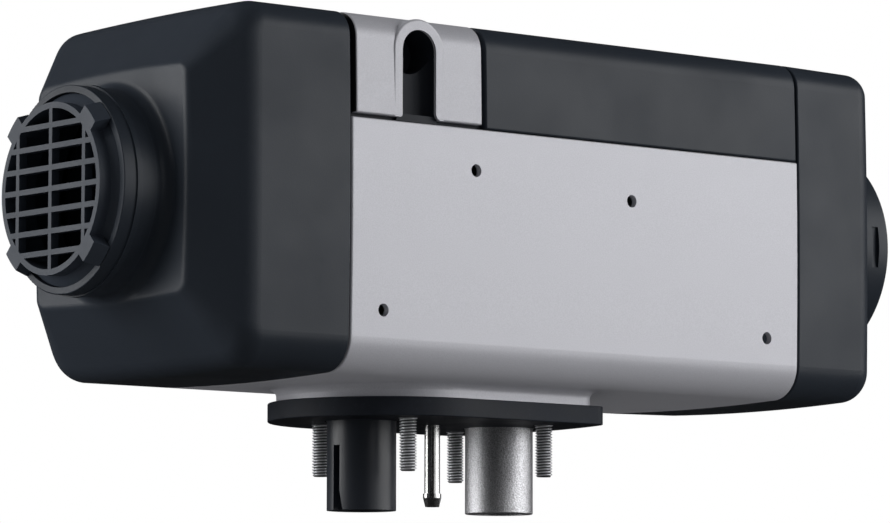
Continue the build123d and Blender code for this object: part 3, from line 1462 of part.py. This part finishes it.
# Control unit: an open box on the motor's posts, with a sleeve for each screw.
unit_middle_x = (unit_left + unit_right) / 2
with BuildPart() as control_unit:
    with BuildSketch(Plane.XY.offset(unit_low)):
        with Locations((unit_middle_x, 0)):
            RectangleRounded(unit_length, unit_width, unit_corner)
    extrude(amount=unit_height)
    with BuildSketch(Plane.XY.offset(unit_low + unit_wall)):
        with Locations((unit_middle_x, 0)):
            RectangleRounded(unit_length - 2 * unit_wall, unit_width - 2 * unit_wall, unit_corner - unit_wall)
    extrude(amount=unit_height, mode=Mode.SUBTRACT)
    with BuildSketch(Plane.XY.offset(unit_low)):
        with Locations(post_places):
            Circle(post_width / 2)
    extrude(amount=unit_height)
    with BuildSketch(Plane.XY.offset(unit_low)):
        with Locations(post_places):
            Circle(screw_radius + screw_play)
    extrude(amount=unit_height, mode=Mode.SUBTRACT)
control_unit.part.label = "control_unit"
export_step(control_unit.part, "parts/control_unit.step")

# Circuit board: stands between the sleeves of the control unit.
with BuildPart() as circuit_board:
    with BuildSketch(Plane.XY.offset(unit_low + board_height)):
        with Locations((unit_middle_x, 0)):
            Rectangle(unit_length - 2 * unit_wall - 2 * lift_gap, 2 * board_half_width)
    extrude(amount=board_thickness)
circuit_board.part.label = "circuit_board"
export_step(circuit_board.part, "parts/circuit_board.step")

# Control unit lid: a plate screwed down over the box.
with BuildPart() as unit_cover:
    with BuildSketch(Plane.XY.offset(unit_high)):
        with Locations((unit_middle_x, 0)):
            RectangleRounded(unit_length, unit_width, unit_corner)
        with Locations(post_places):
            Circle(screw_radius + screw_play, mode=Mode.SUBTRACT)
    extrude(amount=unit_lid)
unit_cover.part.label = "control_unit_lid"
export_step(unit_cover.part, "parts/control_unit_lid.step")

# Control unit screws: four screws through lid and box into the motor's posts.
screw_foot_z = unit_low - unit_screw_depth + screw_play
with BuildPart() as unit_screws:
    with BuildSketch(Plane.XY.offset(screw_foot_z)):
        with Locations(post_places):
            Circle(screw_radius)
    extrude(amount=unit_high + unit_lid - screw_foot_z)
    with BuildSketch(Plane.XY.offset(unit_high + unit_lid)):
        with Locations(post_places):
            Circle(screw_head_radius)
    extrude(amount=screw_head_height)
unit_screws.part.label = "control_unit_screws"
export_step(unit_screws.part, "parts/control_unit_screws.step")

# Cable connector: a shrouded socket on the near side of the control unit.
connector_x = unit_right - connector_inset
connector_z = unit_high - connector_height / 2
connector_root_y = -unit_width / 2
with BuildPart() as cable_connector:
    with BuildSketch(Plane.XZ.offset(-connector_root_y)):
        with Locations((connector_x, connector_z)):
            Rectangle(connector_width, connector_height)
    extrude(amount=connector_length)
    with BuildSketch(Plane.XZ.offset(connector_length - connector_root_y)):
        with Locations((connector_x, connector_z)):
            Rectangle(connector_width - unit_wall, connector_height - unit_wall)
    extrude(amount=-connector_length / 2, mode=Mode.SUBTRACT)
cable_connector.part.label = "cable_connector"
export_step(cable_connector.part, "parts/cable_connector.step")
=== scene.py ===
"""Looks of the diesel air heater: materials, threaded studs, studio and camera.

Lengths are in metres, in the part's own frame: +X runs from the intake to the outlet, +Z is up, and
the side with the cable outlet faces -Y.
"""
import json
from functools import partial
from itertools import pairwise
from math import cos, radians, sin, tau

import bmesh
import bpy
from mathutils import Matrix, Vector


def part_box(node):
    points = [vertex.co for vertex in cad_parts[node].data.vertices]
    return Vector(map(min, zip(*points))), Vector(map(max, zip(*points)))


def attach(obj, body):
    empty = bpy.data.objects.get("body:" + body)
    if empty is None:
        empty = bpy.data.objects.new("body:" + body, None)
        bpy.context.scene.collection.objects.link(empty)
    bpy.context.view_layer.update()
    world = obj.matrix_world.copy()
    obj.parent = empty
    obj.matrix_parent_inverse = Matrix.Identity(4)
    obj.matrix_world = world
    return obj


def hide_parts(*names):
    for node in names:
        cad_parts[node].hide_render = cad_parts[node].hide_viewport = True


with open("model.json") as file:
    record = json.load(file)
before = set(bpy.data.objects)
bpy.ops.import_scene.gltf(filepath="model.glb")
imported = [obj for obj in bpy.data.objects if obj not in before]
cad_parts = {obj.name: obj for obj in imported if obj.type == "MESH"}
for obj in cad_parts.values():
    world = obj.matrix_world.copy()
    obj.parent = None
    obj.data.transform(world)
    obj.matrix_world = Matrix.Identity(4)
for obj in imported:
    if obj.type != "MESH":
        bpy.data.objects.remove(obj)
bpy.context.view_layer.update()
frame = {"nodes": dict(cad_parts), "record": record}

MM = 0.001
WHITE, BLACK = (1.0, 1.0, 1.0), (0.0, 0.0, 0.0)


# ---------------------------------------------------------------- helpers

class Nodes:
    """Short calls for building one node tree."""

    def __init__(self, tree):
        self.tree = tree

    def node(self, kind, **values):
        made = self.tree.nodes.new(kind)
        for key, value in values.items():
            setattr(made, key, value)
        return made

    def link(self, source, target):
        self.tree.links.new(source, target)

    def maths(self, operation, first, second):
        made = self.node("ShaderNodeMath", operation=operation)
        self.link(first, made.inputs[0])
        self.link(second, made.inputs[1])
        return made.outputs["Value"]


class Shader(Nodes):
    """Node tree of one material, with the patterns that the materials share."""

    EDGE_SAMPLES = 6
    # Cosine between a face's own normal and its rounded one, on open faces and on edges.
    OPEN_COSINE, EDGE_COSINE = 0.97, 0.72

    def __init__(self, name):
        self.material = bpy.data.materials.new(name)
        self.material.use_nodes = True
        super().__init__(self.material.node_tree)
        self.bsdf = self.tree.nodes["Principled BSDF"]
        self.place = self.node("ShaderNodeTexCoord").outputs["Object"]

    def scaled(self, stretch):
        """Object coordinates stretched by different amounts along X, Y and Z."""
        mapping = self.node("ShaderNodeMapping")
        mapping.inputs["Scale"].default_value = stretch
        self.link(self.place, mapping.inputs["Vector"])
        return mapping.outputs["Vector"]

    def noise(self, scale, detail=2.0, rough=0.5, place=None):
        made = self.node("ShaderNodeTexNoise")
        made.inputs["Scale"].default_value = scale
        made.inputs["Detail"].default_value = detail
        made.inputs["Roughness"].default_value = rough
        self.link(place or self.place, made.inputs["Vector"])
        return made.outputs["Fac"]

    def cells(self, scale, feature="F1"):
        made = self.node("ShaderNodeTexVoronoi", feature=feature)
        made.inputs["Scale"].default_value = scale
        self.link(self.place, made.inputs["Vector"])
        return made.outputs["Distance"]

    def waves(self, direction, scale, distortion):
        made = self.node("ShaderNodeTexWave", bands_direction=direction)
        made.inputs["Scale"].default_value = scale
        made.inputs["Distortion"].default_value = distortion
        self.link(self.place, made.inputs["Vector"])
        return made.outputs["Fac"]

    def spread(self, value, source, target):
        """Takes the band of values from source, a pair, to target, another pair."""
        made = self.node("ShaderNodeMapRange")
        for socket, number in zip(("From Min", "From Max", "To Min", "To Max"), (*source, *target)):
            made.inputs[socket].default_value = number
        self.link(value, made.inputs["Value"])
        return made.outputs["Result"]

    def colours(self, value, *stops):
        """Colour ramp over value; each stop is a position and a colour."""
        made = self.node("ShaderNodeValToRGB")
        ramp = made.color_ramp
        while len(ramp.elements) < len(stops):
            ramp.elements.new(0.5)
        for element, (position, colour) in zip(ramp.elements, stops):
            element.position = position
            element.color = (*colour, 1.0)
        self.link(value, made.inputs["Fac"])
        return made.outputs["Color"]

    def mixed(self, share, first, second):
        """first where share is 0 and second where it is 1; each is a colour or an output."""
        made = self.node("ShaderNodeMix", data_type="RGBA")
        factor, colour_a, colour_b = made.inputs[0], made.inputs[6], made.inputs[7]
        self.link(share, factor)
        for socket, source in ((colour_a, first), (colour_b, second)):
            if isinstance(source, tuple):
                socket.default_value = (*source, 1.0)
            else:
                self.link(source, socket)
        return made.outputs[2]

    def bump(self, height, depth, strength, below=None):
        made = self.node("ShaderNodeBump")
        made.inputs["Strength"].default_value = strength
        made.inputs["Distance"].default_value = depth
        self.link(height, made.inputs["Height"])
        if below is not None:
            self.link(below, made.inputs["Normal"])
        return made.outputs["Normal"]

    def edges(self, reach):
        """1 on sharp edges and 0 on open faces."""
        bevel = self.node("ShaderNodeBevel", samples=self.EDGE_SAMPLES)
        bevel.inputs["Radius"].default_value = reach
        geometry = self.node("ShaderNodeNewGeometry")
        dot = self.node("ShaderNodeVectorMath", operation="DOT_PRODUCT")
        self.link(bevel.outputs["Normal"], dot.inputs[0])
        self.link(geometry.outputs["Normal"], dot.inputs[1])
        return self.spread(dot.outputs["Value"], (self.OPEN_COSINE, self.EDGE_COSINE), (0.0, 1.0))

    def worn(self, base, rubbed, reach, patches):
        """base, with the rubbed colour in patches along sharp edges."""
        wear = self.maths("MULTIPLY", self.edges(reach), self.noise(patches, detail=3.0))
        return self.mixed(wear, base, rubbed)

    def feed(self, **sockets):
        """Sets or links inputs of the surface, and returns the finished material."""
        for key, value in sockets.items():
            socket = self.bsdf.inputs[key.replace("_", " ")]
            if isinstance(value, float):
                socket.default_value = value
            elif isinstance(value, tuple):
                socket.default_value = (*value, 1.0)
            else:
                self.link(value, socket)
        return self.material


def shade(colour, factor):
    return tuple(min(1.0, channel * factor) for channel in colour)


def tinted(colour, tint):
    return tuple(channel * share for channel, share in zip(colour, tint))


def bridge(mesh, low, high):
    """Faces between two rows of points, which have as many points each."""
    for (low_a, low_b), (high_a, high_b) in zip(pairwise(low), pairwise(high)):
        mesh.faces.new((low_a, low_b, high_b, high_a))


def add_object(name, mesh, material):
    """Turns a bmesh into an object of the scene with one material."""
    data = bpy.data.meshes.new(name)
    mesh.to_mesh(data)
    mesh.free()
    data.materials.append(material)
    made = bpy.data.objects.new(name, data)
    bpy.context.scene.collection.objects.link(made)
    return made


# ---------------------------------------------------------------- materials

# Scales of patterns are in features per metre: 2300 gives grains of about 0.4 mm.
# Tints that bring the record's neutral colours to the photograph's cool ones.
COOL = (0.82, 0.98, 1.22)
FAINTLY_COOL = (0.975, 0.975, 1.03)
# The band that holds nearly all values of a noise.
NOISE_BAND = (0.3, 0.7)
# Vertex layer of the studs: 0 on the crests of the thread and 1 in its roots.
DEPTH_NAME = "thread_depth"
# The cable cover is a little darker than the casing. Its end beside the intake cap is painted black,
# as painted shade for the shadow in the joint.
COVER_TONE = 0.88
JOINT_PAINTED_SHADE = (0.012, 0.012, 0.014)
EDGE_BLEND = 0.06 * MM


def silver_paint(name, colour, painted_shade_end=None):
    """Fine satin metallic paint; below a given X it is painted black, as painted shade in a joint."""
    s = Shader(name)
    colour = tinted(colour, FAINTLY_COOL)
    clouds = s.noise(9.0, detail=3.0)
    paint = s.colours(clouds, (0.3, shade(colour, 0.98)), (0.7, shade(colour, 1.02)))
    flakes = s.spread(s.noise(2300.0, rough=0.7), (0.35, 0.65), (0.0, 0.5))
    paint = s.mixed(flakes, paint, shade(colour, 1.22))
    paint = s.worn(paint, shade(colour, 1.3), reach=0.6 * MM, patches=220.0)
    # Painted shade: the paint turns black below that X, for the shadow in the joint.
    if painted_shade_end is not None:
        along = s.node("ShaderNodeSeparateXYZ")
        s.link(s.place, along.inputs["Vector"])
        joint = s.spread(along.outputs["X"], (painted_shade_end, painted_shade_end + EDGE_BLEND), (1.0, 0.0))
        paint = s.mixed(joint, paint, JOINT_PAINTED_SHADE)
    grain = s.bump(s.noise(2600.0), 0.02 * MM, 0.5)
    skin = s.bump(s.noise(160.0), 0.04 * MM, 0.15, grain)
    finish = s.spread(s.noise(900.0, detail=3.0), NOISE_BAND, (0.42, 0.50))
    return s.feed(Base_Color=paint, Metallic=0.15, Roughness=finish, Normal=skin)


def black_plastic(name, colour, grain_scale=2400.0, rough=(0.36, 0.46), depth=0.04 * MM, level=0.19):
    """Moulded plastic with a fine grain and faint handling marks."""
    s = Shader(name)
    colour = tinted(colour, COOL)
    clouds = s.noise(14.0, detail=3.0)
    base = s.colours(clouds, (0.3, shade(colour, 0.88)), (0.7, shade(colour, 1.12)))
    base = s.worn(base, shade(colour, 1.9), reach=0.5 * MM, patches=260.0)
    sheen = s.spread(s.noise(45.0, detail=4.0), NOISE_BAND, rough)
    marks = s.noise(90.0, detail=5.0, rough=0.6, place=s.scaled((1.0, 6.0, 2.0)))
    finish = s.maths("ADD", sheen, s.spread(marks, (0.62, 0.78), (0.0, 0.07)))
    grain = s.bump(s.cells(grain_scale), depth, 0.35)
    skin = s.bump(s.noise(120.0), 0.08 * MM, 0.2, grain)
    return s.feed(Base_Color=base, Roughness=finish, Normal=skin, Specular_IOR_Level=level)


def rubber(name, colour):
    """Dull rubber with a little dust."""
    s = Shader(name)
    colour = tinted(colour, COOL)
    clouds = s.noise(60.0, detail=4.0)
    base = s.colours(clouds, (0.35, shade(colour, 0.8)), (0.7, shade(colour, 1.35)))
    dust = s.spread(s.noise(900.0, detail=3.0), (0.62, 0.75), (0.0, 0.25))
    base = s.mixed(dust, base, shade(colour, 2.4))
    finish = s.spread(clouds, NOISE_BAND, (0.46, 0.60))
    grain = s.bump(s.noise(2200.0, detail=3.0), 0.06 * MM, 0.6)
    return s.feed(Base_Color=base, Roughness=finish, Normal=grain, Specular_IOR_Level=0.16)


def cast_metal(name, colour):
    """Rough casting: grainy skin, darker pits and brighter rubbed grains."""
    s = Shader(name)
    colour = tinted(colour, FAINTLY_COOL)
    sand = s.noise(2300.0, detail=3.0, rough=0.65)
    pits = s.cells(1300.0)
    dark, plain, bright = shade(colour, 0.55), shade(colour, 0.97), shade(colour, 1.35)
    base = s.colours(sand, (0.32, dark), (0.5, plain), (0.68, bright))
    base = s.mixed(s.spread(pits, (0.0, 0.22), (0.4, 0.0)), base, shade(colour, 0.4))
    finish = s.spread(sand, NOISE_BAND, (0.44, 0.30))
    skin = s.bump(sand, 0.18 * MM, 0.85)
    skin = s.bump(pits, 0.10 * MM, 0.5, skin)
    return s.feed(Base_Color=base, Metallic=0.8, Roughness=finish, Normal=skin)


def steel(name, colour, rough=(0.24, 0.38), brushed=(1.0, 1.0, 14.0), tone=1.0):
    """Machined or drawn metal; its fine lines lie across the axes that brushed stretches."""
    s = Shader(name)
    colour = shade(colour, tone)
    lines = s.noise(700.0, detail=4.0, rough=0.6, place=s.scaled(brushed))
    stains = s.noise(70.0, detail=4.0)
    base = s.colours(stains, (0.3, shade(colour, 0.82)), (0.7, shade(colour, 1.08)))
    finish = s.spread(lines, NOISE_BAND, rough)
    return s.feed(Base_Color=base, Metallic=1.0, Roughness=finish, Normal=s.bump(lines, 0.03 * MM, 0.35))


def zinc_plate(name, colour):
    """Zinc plating, slightly dull, with a few darker spots and painted shade in the thread roots."""
    s = Shader(name)
    colour = tinted(colour, FAINTLY_COOL)
    spots = s.noise(1800.0, detail=3.0)
    base = s.colours(spots, (0.3, shade(colour, 1.2)), (0.6, shade(colour, 1.5)))
    # Painted shade: the thread roots are darkened, for the shadow that the crests cast into them.
    depth = s.node("ShaderNodeAttribute", attribute_name=DEPTH_NAME).outputs["Fac"]
    base = s.mixed(s.spread(depth, (0.3, 0.85), (0.0, 1.0)), base, shade(colour, 0.08))
    finish = s.spread(spots, NOISE_BAND, (0.38, 0.30))
    return s.feed(Base_Color=base, Metallic=0.5, Roughness=finish, Normal=s.bump(spots, 0.002 * MM, 0.2))


def heat_steel(name, colour):
    """Sheet steel with the straw and blue tints left by heat."""
    straw, blue = (0.50, 0.38, 0.22), (0.30, 0.24, 0.30)
    s = Shader(name)
    tints = s.noise(26.0, detail=3.0)
    plain, bright = shade(colour, 0.9), shade(colour, 1.1)
    base = s.colours(tints, (0.30, plain), (0.50, straw), (0.62, blue), (0.75, bright))
    finish = s.spread(s.noise(300.0, detail=4.0), NOISE_BAND, (0.30, 0.48))
    skin = s.bump(s.noise(600.0, detail=3.0), 0.04 * MM, 0.4)
    return s.feed(Base_Color=base, Metallic=1.0, Roughness=finish, Normal=skin)


def fibre(name, colour):
    """Matted fibres, such as felt or gasket sheet."""
    s = Shader(name)
    strands = s.noise(1500.0, detail=5.0, rough=0.7, place=s.scaled((1.0, 3.0, 3.0)))
    base = s.colours(strands, (0.35, shade(colour, 0.65)), (0.65, shade(colour, 1.2)))
    skin = s.bump(strands, 0.2 * MM, 0.8)
    return s.feed(Base_Color=base, Roughness=0.9, Normal=skin, Specular_IOR_Level=0.2)


def laminated(name, colour):
    """Stack of thin sheets across the fan axis."""
    s = Shader(name)
    sheets = s.waves("X", scale=320.0, distortion=0.3)
    base = s.colours(sheets, (0.2, shade(colour, 0.5)), (0.6, shade(colour, 1.2)))
    return s.feed(Base_Color=base, Metallic=0.8, Roughness=0.5, Normal=s.bump(sheets, 0.1 * MM, 0.6))


def windings(name, colour):
    """Enamelled wire wound along the fan axis."""
    s = Shader(name)
    wires = s.waves("Z", scale=260.0, distortion=0.8)
    base = s.colours(wires, (0.1, shade(colour, 0.35)), (0.6, shade(colour, 1.15)))
    return s.feed(Base_Color=base, Metallic=0.7, Roughness=0.28, Normal=s.bump(wires, 0.2 * MM, 0.8))


def circuit(name, colour):
    """Green board with tracks under the lacquer."""
    track, gap = 0.04, 0.09
    s = Shader(name)
    from_track = s.cells(190.0, "DISTANCE_TO_EDGE")
    base = s.colours(from_track, (track, shade(colour, 2.0)), (gap, colour))
    finish = s.spread(s.noise(80.0), NOISE_BAND, (0.22, 0.34))
    skin = s.bump(s.spread(from_track, (track, gap), (1.0, 0.0)), 0.04 * MM, 0.5)
    return s.feed(Base_Color=base, Roughness=finish, Normal=skin)


RECIPES = {
    "casing_silver": silver_paint,
    "casing_black": black_plastic,
    "frame_black": partial(black_plastic, rough=(0.50, 0.60), level=0.2),
    "grille_black": black_plastic,
    "gasket_rubber": rubber,
    "soft_rubber": rubber,
    "stub_plastic": partial(
        black_plastic, grain_scale=1500.0, rough=(0.33, 0.42), depth=0.03 * MM, level=0.40
    ),
    "cast_aluminium": cast_metal,
    "zinc_steel": zinc_plate,
    "bright_steel": partial(steel, rough=(0.17, 0.27), brushed=(9.0, 9.0, 1.0), tone=0.7),
    "heat_steel": heat_steel,
    "felt": fibre,
    "gasket_sheet": fibre,
    "ceramic_block": black_plastic,
    "blower_plastic": black_plastic,
    "fan_plastic": black_plastic,
    "motor_steel": partial(steel, rough=(0.28, 0.42), brushed=(12.0, 1.0, 1.0)),
    "stator_iron": laminated,
    "copper_coil": windings,
    "magnet_black": steel,
    "bearing_steel": partial(steel, rough=(0.12, 0.22), brushed=(1.0, 1.0, 1.0)),
    "board_green": circuit,
    "unit_plastic": black_plastic,
    "connector_plastic": black_plastic,
}
slot_colour = {m["slot"]: tuple(m["base_color"]) for m in frame["record"]["materials"]}
materials = {slot: RECIPES[slot](slot, colour) for slot, colour in slot_colour.items()}

for subpart in frame["record"]["subparts"]:
    node = frame["nodes"][subpart["node"]]
    node.data.materials.clear()
    node.data.materials.append(materials[subpart["material_slot"]])

# The cable cover's end beside the intake cap gets painted shade: black, for the shadow in the joint.
cover_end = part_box("cable_cover")[0][0] + EDGE_BLEND
cover_silver = shade(slot_colour["casing_silver"], COVER_TONE)
joint_shaded_silver = silver_paint("casing_silver_edged", cover_silver, cover_end)
frame["nodes"]["cable_cover"].data.materials[0] = joint_shaded_silver


# ---------------------------------------------------------------- threaded studs

# The CAD's studs, M6, with the gasket's underside at z = 0: their places, ends and plain shank.
STUD_X, STUD_Y = 30.3 * MM, 24.6 * MM
STUD_REACH, STUD_TOP = 18.0 * MM, 14.0 * MM
SHANK_RADIUS = 3.25 * MM
THREAD_RADIUS, THREAD_ROOT, THREAD_PITCH = 3.0 * MM, 2.3 * MM, 1.0 * MM
# Shares of half a pitch that the flat root and the flank take. The flat crest has the rest.
ROOT_SHARE, FLANK_SHARE = 0.12, 0.70
AROUND, PER_TURN = 40, 10
SHARP_ANGLE = radians(40)


def thread_radius(angle, height):
    """Radius of the thread's surface, with crests, roots and a chamfered tip."""
    phase = (height / THREAD_PITCH - angle / tau) % 1.0
    from_root = abs(2.0 * phase - 1.0)
    rise = min(1.0, max(0.0, (from_root - ROOT_SHARE) / FLANK_SHARE))
    radius = THREAD_ROOT + (THREAD_RADIUS - THREAD_ROOT) * rise
    return min(radius, THREAD_ROOT + (height + STUD_REACH))


def add_stud(mesh, depth_layer, x, y):
    """Adds one stud: threaded below the gasket's underside and plain above it."""
    rows = round(STUD_REACH / THREAD_PITCH * PER_TURN)
    levels = [(-STUD_REACH + STUD_REACH * row / rows, True) for row in range(rows + 1)]
    levels += [(0.0, False), (STUD_TOP, False)]
    rings = []
    for height, threaded in levels:
        ring = []
        for step in range(AROUND):
            angle = step * tau / AROUND
            radius = thread_radius(angle, height) if threaded else SHANK_RADIUS
            point = mesh.verts.new((x + radius * cos(angle), y + radius * sin(angle), height))
            if threaded:
                point[depth_layer] = (THREAD_RADIUS - radius) / (THREAD_RADIUS - THREAD_ROOT)
            ring.append(point)
        rings.append(ring)
    for low, high in pairwise(rings):
        bridge(mesh, low + low[:1], high + high[:1])
    mesh.faces.new(list(reversed(rings[0])))
    mesh.faces.new(rings[-1])


stud_mesh = bmesh.new()
stud_depth = stud_mesh.verts.layers.float.new(DEPTH_NAME)
for side_x in (-1, 1):
    for side_y in (-1, 1):
        add_stud(stud_mesh, stud_depth, side_x * STUD_X, side_y * STUD_Y)
studs = add_object("threaded_studs", stud_mesh, materials["zinc_steel"])
for polygon in studs.data.polygons:
    polygon.use_smooth = True
studs.data.set_sharp_from_angle(angle=SHARP_ANGLE)
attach(studs, "heater")
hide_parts("mounting_studs")


# ---------------------------------------------------------------- floor

FLOOR_Z, FLOOR_SIZE, FLOOR_CELLS = -0.16, 30.0, 4
# The floor looks pale, but gives less light back to the heater's underside.
FLOOR_SEEN, FLOOR_GIVEN = (0.80, 0.80, 0.80), (0.35, 0.35, 0.35)
# Its glow grows with the distance from the heater, until the floor meets the white world.
GLOW_REACH, GLOW_STRENGTH = (0.3, 3.5), (0.14, 0.86)


def floor_material():
    s = Shader("floor")
    diffuse_ray = s.node("ShaderNodeLightPath").outputs["Is Diffuse Ray"]
    distance = s.node("ShaderNodeVectorMath", operation="LENGTH")
    s.link(s.place, distance.inputs[0])
    return s.feed(
        Base_Color=s.mixed(diffuse_ray, FLOOR_SEEN, FLOOR_GIVEN),
        Roughness=0.8,
        Specular_IOR_Level=0.1,
        Emission_Color=s.mixed(diffuse_ray, WHITE, BLACK),
        Emission_Strength=s.spread(distance.outputs["Value"], GLOW_REACH, GLOW_STRENGTH),
    )


floor_mesh = bmesh.new()
bmesh.ops.create_grid(floor_mesh, x_segments=FLOOR_CELLS, y_segments=FLOOR_CELLS, size=FLOOR_SIZE / 2)
floor = add_object("floor", floor_mesh, floor_material())
floor.location.z = FLOOR_Z


# ---------------------------------------------------------------- world

SEEN_STRENGTH = 1.0
LIT_COLOUR, LIT_STRENGTH = (0.95, 0.97, 1.0), 0.17


def background(sky, colour, strength):
    made = sky.node("ShaderNodeBackground")
    made.inputs["Color"].default_value = (*colour, 1.0)
    made.inputs["Strength"].default_value = strength
    return made.outputs["Background"]


def add_world():
    """White where it is seen, also in reflections and through glass, and dim as a light."""
    world = bpy.data.worlds.new("studio")
    bpy.context.scene.world = world
    world.use_nodes = True
    world.node_tree.nodes.clear()
    sky = Nodes(world.node_tree)
    rays = sky.node("ShaderNodeLightPath").outputs
    seen = sky.maths("MAXIMUM", rays["Is Camera Ray"], rays["Is Glossy Ray"])
    seen = sky.maths("MAXIMUM", seen, rays["Is Transmission Ray"])
    choice = sky.node("ShaderNodeMixShader")
    sky.link(seen, choice.inputs["Fac"])
    sky.link(background(sky, LIT_COLOUR, LIT_STRENGTH), choice.inputs[1])
    sky.link(background(sky, WHITE, SEEN_STRENGTH), choice.inputs[2])
    out = sky.node("ShaderNodeOutputWorld")
    sky.link(choice.outputs["Shader"], out.inputs["Surface"])


add_world()


# ---------------------------------------------------------------- lamps

CASING_MIDDLE = Vector((0.0, 0.0, 0.07))
# Each lamp: name, place, width and height, power in watts, and whether reflections show it.
LAMPS = (
    ("key", (1.62, -1.60, 0.62), (2.2, 1.6), 29.0, True),
    ("left", (-1.92, 1.26, 0.4), (1.9, 1.9), 54.0, True),
    ("back", (0.8, 2.3, 1.2), (1.8, 1.2), 14.0, False),
    ("top", (-0.4, 0.2, 2.3), (1.4, 1.4), 6.0, False),
)

for lamp_name, lamp_place, lamp_size, power, reflected in LAMPS:
    light = bpy.data.lights.new(lamp_name, "AREA")
    light.shape = "RECTANGLE"
    light.size, light.size_y = lamp_size
    light.energy = power
    lamp = bpy.data.objects.new(lamp_name, light)
    lamp.location = lamp_place
    lamp.rotation_euler = (CASING_MIDDLE - Vector(lamp_place)).to_track_quat("-Z", "Y").to_euler()
    lamp.visible_glossy = reflected
    bpy.context.scene.collection.objects.link(lamp)


# ---------------------------------------------------------------- dark studio cards

CARD_REACH, CARD_STEPS = 4.0, 12
CARD_LOWEST = FLOOR_Z + 4.0 * MM
# Heights in degrees where the cards meet and where they end, near the pole.
HORIZON, WALL_TOP, POLE = -2.2, 32.0, 88.0
# Each card: name, its stretch round Z from +X, and its stretch of heights, in degrees. The open
# stretch between the ends of camera_flag is the white strip that the near side reflects.
CARDS = (
    ("camera_flag", (-18.0, 262.0), (HORIZON, WALL_TOP)),
    ("sky_flag", (0.0, 360.0), (WALL_TOP, POLE)),
    ("floor_flag", (0.0, 360.0), (-POLE, HORIZON)),
)


def card_angles(ends):
    """Angles in radians at even steps between two ends in degrees."""
    start, end = ends
    return [radians(start + (end - start) * step / CARD_STEPS) for step in range(CARD_STEPS + 1)]


def add_card(name, turns, heights, material):
    """Dark card, curved round the heater and above the floor, that only reflections show."""
    mesh = bmesh.new()
    rows = []
    for height in card_angles(heights):
        row = []
        for turn in card_angles(turns):
            direction = Vector((cos(height) * cos(turn), cos(height) * sin(turn), sin(height)))
            place = direction * CARD_REACH
            if place.z < CARD_LOWEST:
                place *= CARD_LOWEST / place.z
            row.append(mesh.verts.new(place))
        rows.append(row)
    for low, high in pairwise(rows):
        bridge(mesh, low, high)
    card = add_object(name, mesh, material)
    card.visible_camera = False
    card.visible_diffuse = False
    card.visible_transmission = False
    card.visible_shadow = False


card_black = Shader("flag").feed(Base_Color=(0.02, 0.02, 0.02), Roughness=0.9, Specular_IOR_Level=0.0)
for card_name, turns, heights in CARDS:
    add_card(card_name, turns, heights, card_black)


# ---------------------------------------------------------------- camera

# Solved from the photograph: place in millimetres, angles in degrees, focal length in its pixels.
CAMERA_PLACE = Vector((-1025.37, -1280.45, -107.21)) * MM
CAMERA_TURN, CAMERA_PITCH, CAMERA_ROLL = radians(-38.839), radians(5.742), radians(0.108)
FOCAL_PIXELS, PICTURE_WIDTH = 4692.7, 890
SENSOR_WIDTH = 36.0
CLIP_NEAR, CLIP_FAR = 0.05, 60.0

forward = Vector((
    -sin(CAMERA_TURN) * cos(CAMERA_PITCH),
    cos(CAMERA_TURN) * cos(CAMERA_PITCH),
    sin(CAMERA_PITCH),
))
level_right = Vector((cos(CAMERA_TURN), sin(CAMERA_TURN), 0.0))
level_up = level_right.cross(forward)
right = level_right * cos(CAMERA_ROLL) + level_up * sin(CAMERA_ROLL)
up = level_up * cos(CAMERA_ROLL) - level_right * sin(CAMERA_ROLL)
camera_data = bpy.data.cameras.new("camera")
camera_data.sensor_width = SENSOR_WIDTH
camera_data.lens = FOCAL_PIXELS * SENSOR_WIDTH / PICTURE_WIDTH
camera_data.clip_start, camera_data.clip_end = CLIP_NEAR, CLIP_FAR
camera = bpy.data.objects.new("camera", camera_data)
camera.matrix_world = Matrix.Translation(CAMERA_PLACE) @ Matrix((right, up, -forward)).transposed().to_4x4()
bpy.context.scene.collection.objects.link(camera)
bpy.context.scene.camera = camera

bpy.context.scene.view_settings.view_transform = "Standard"
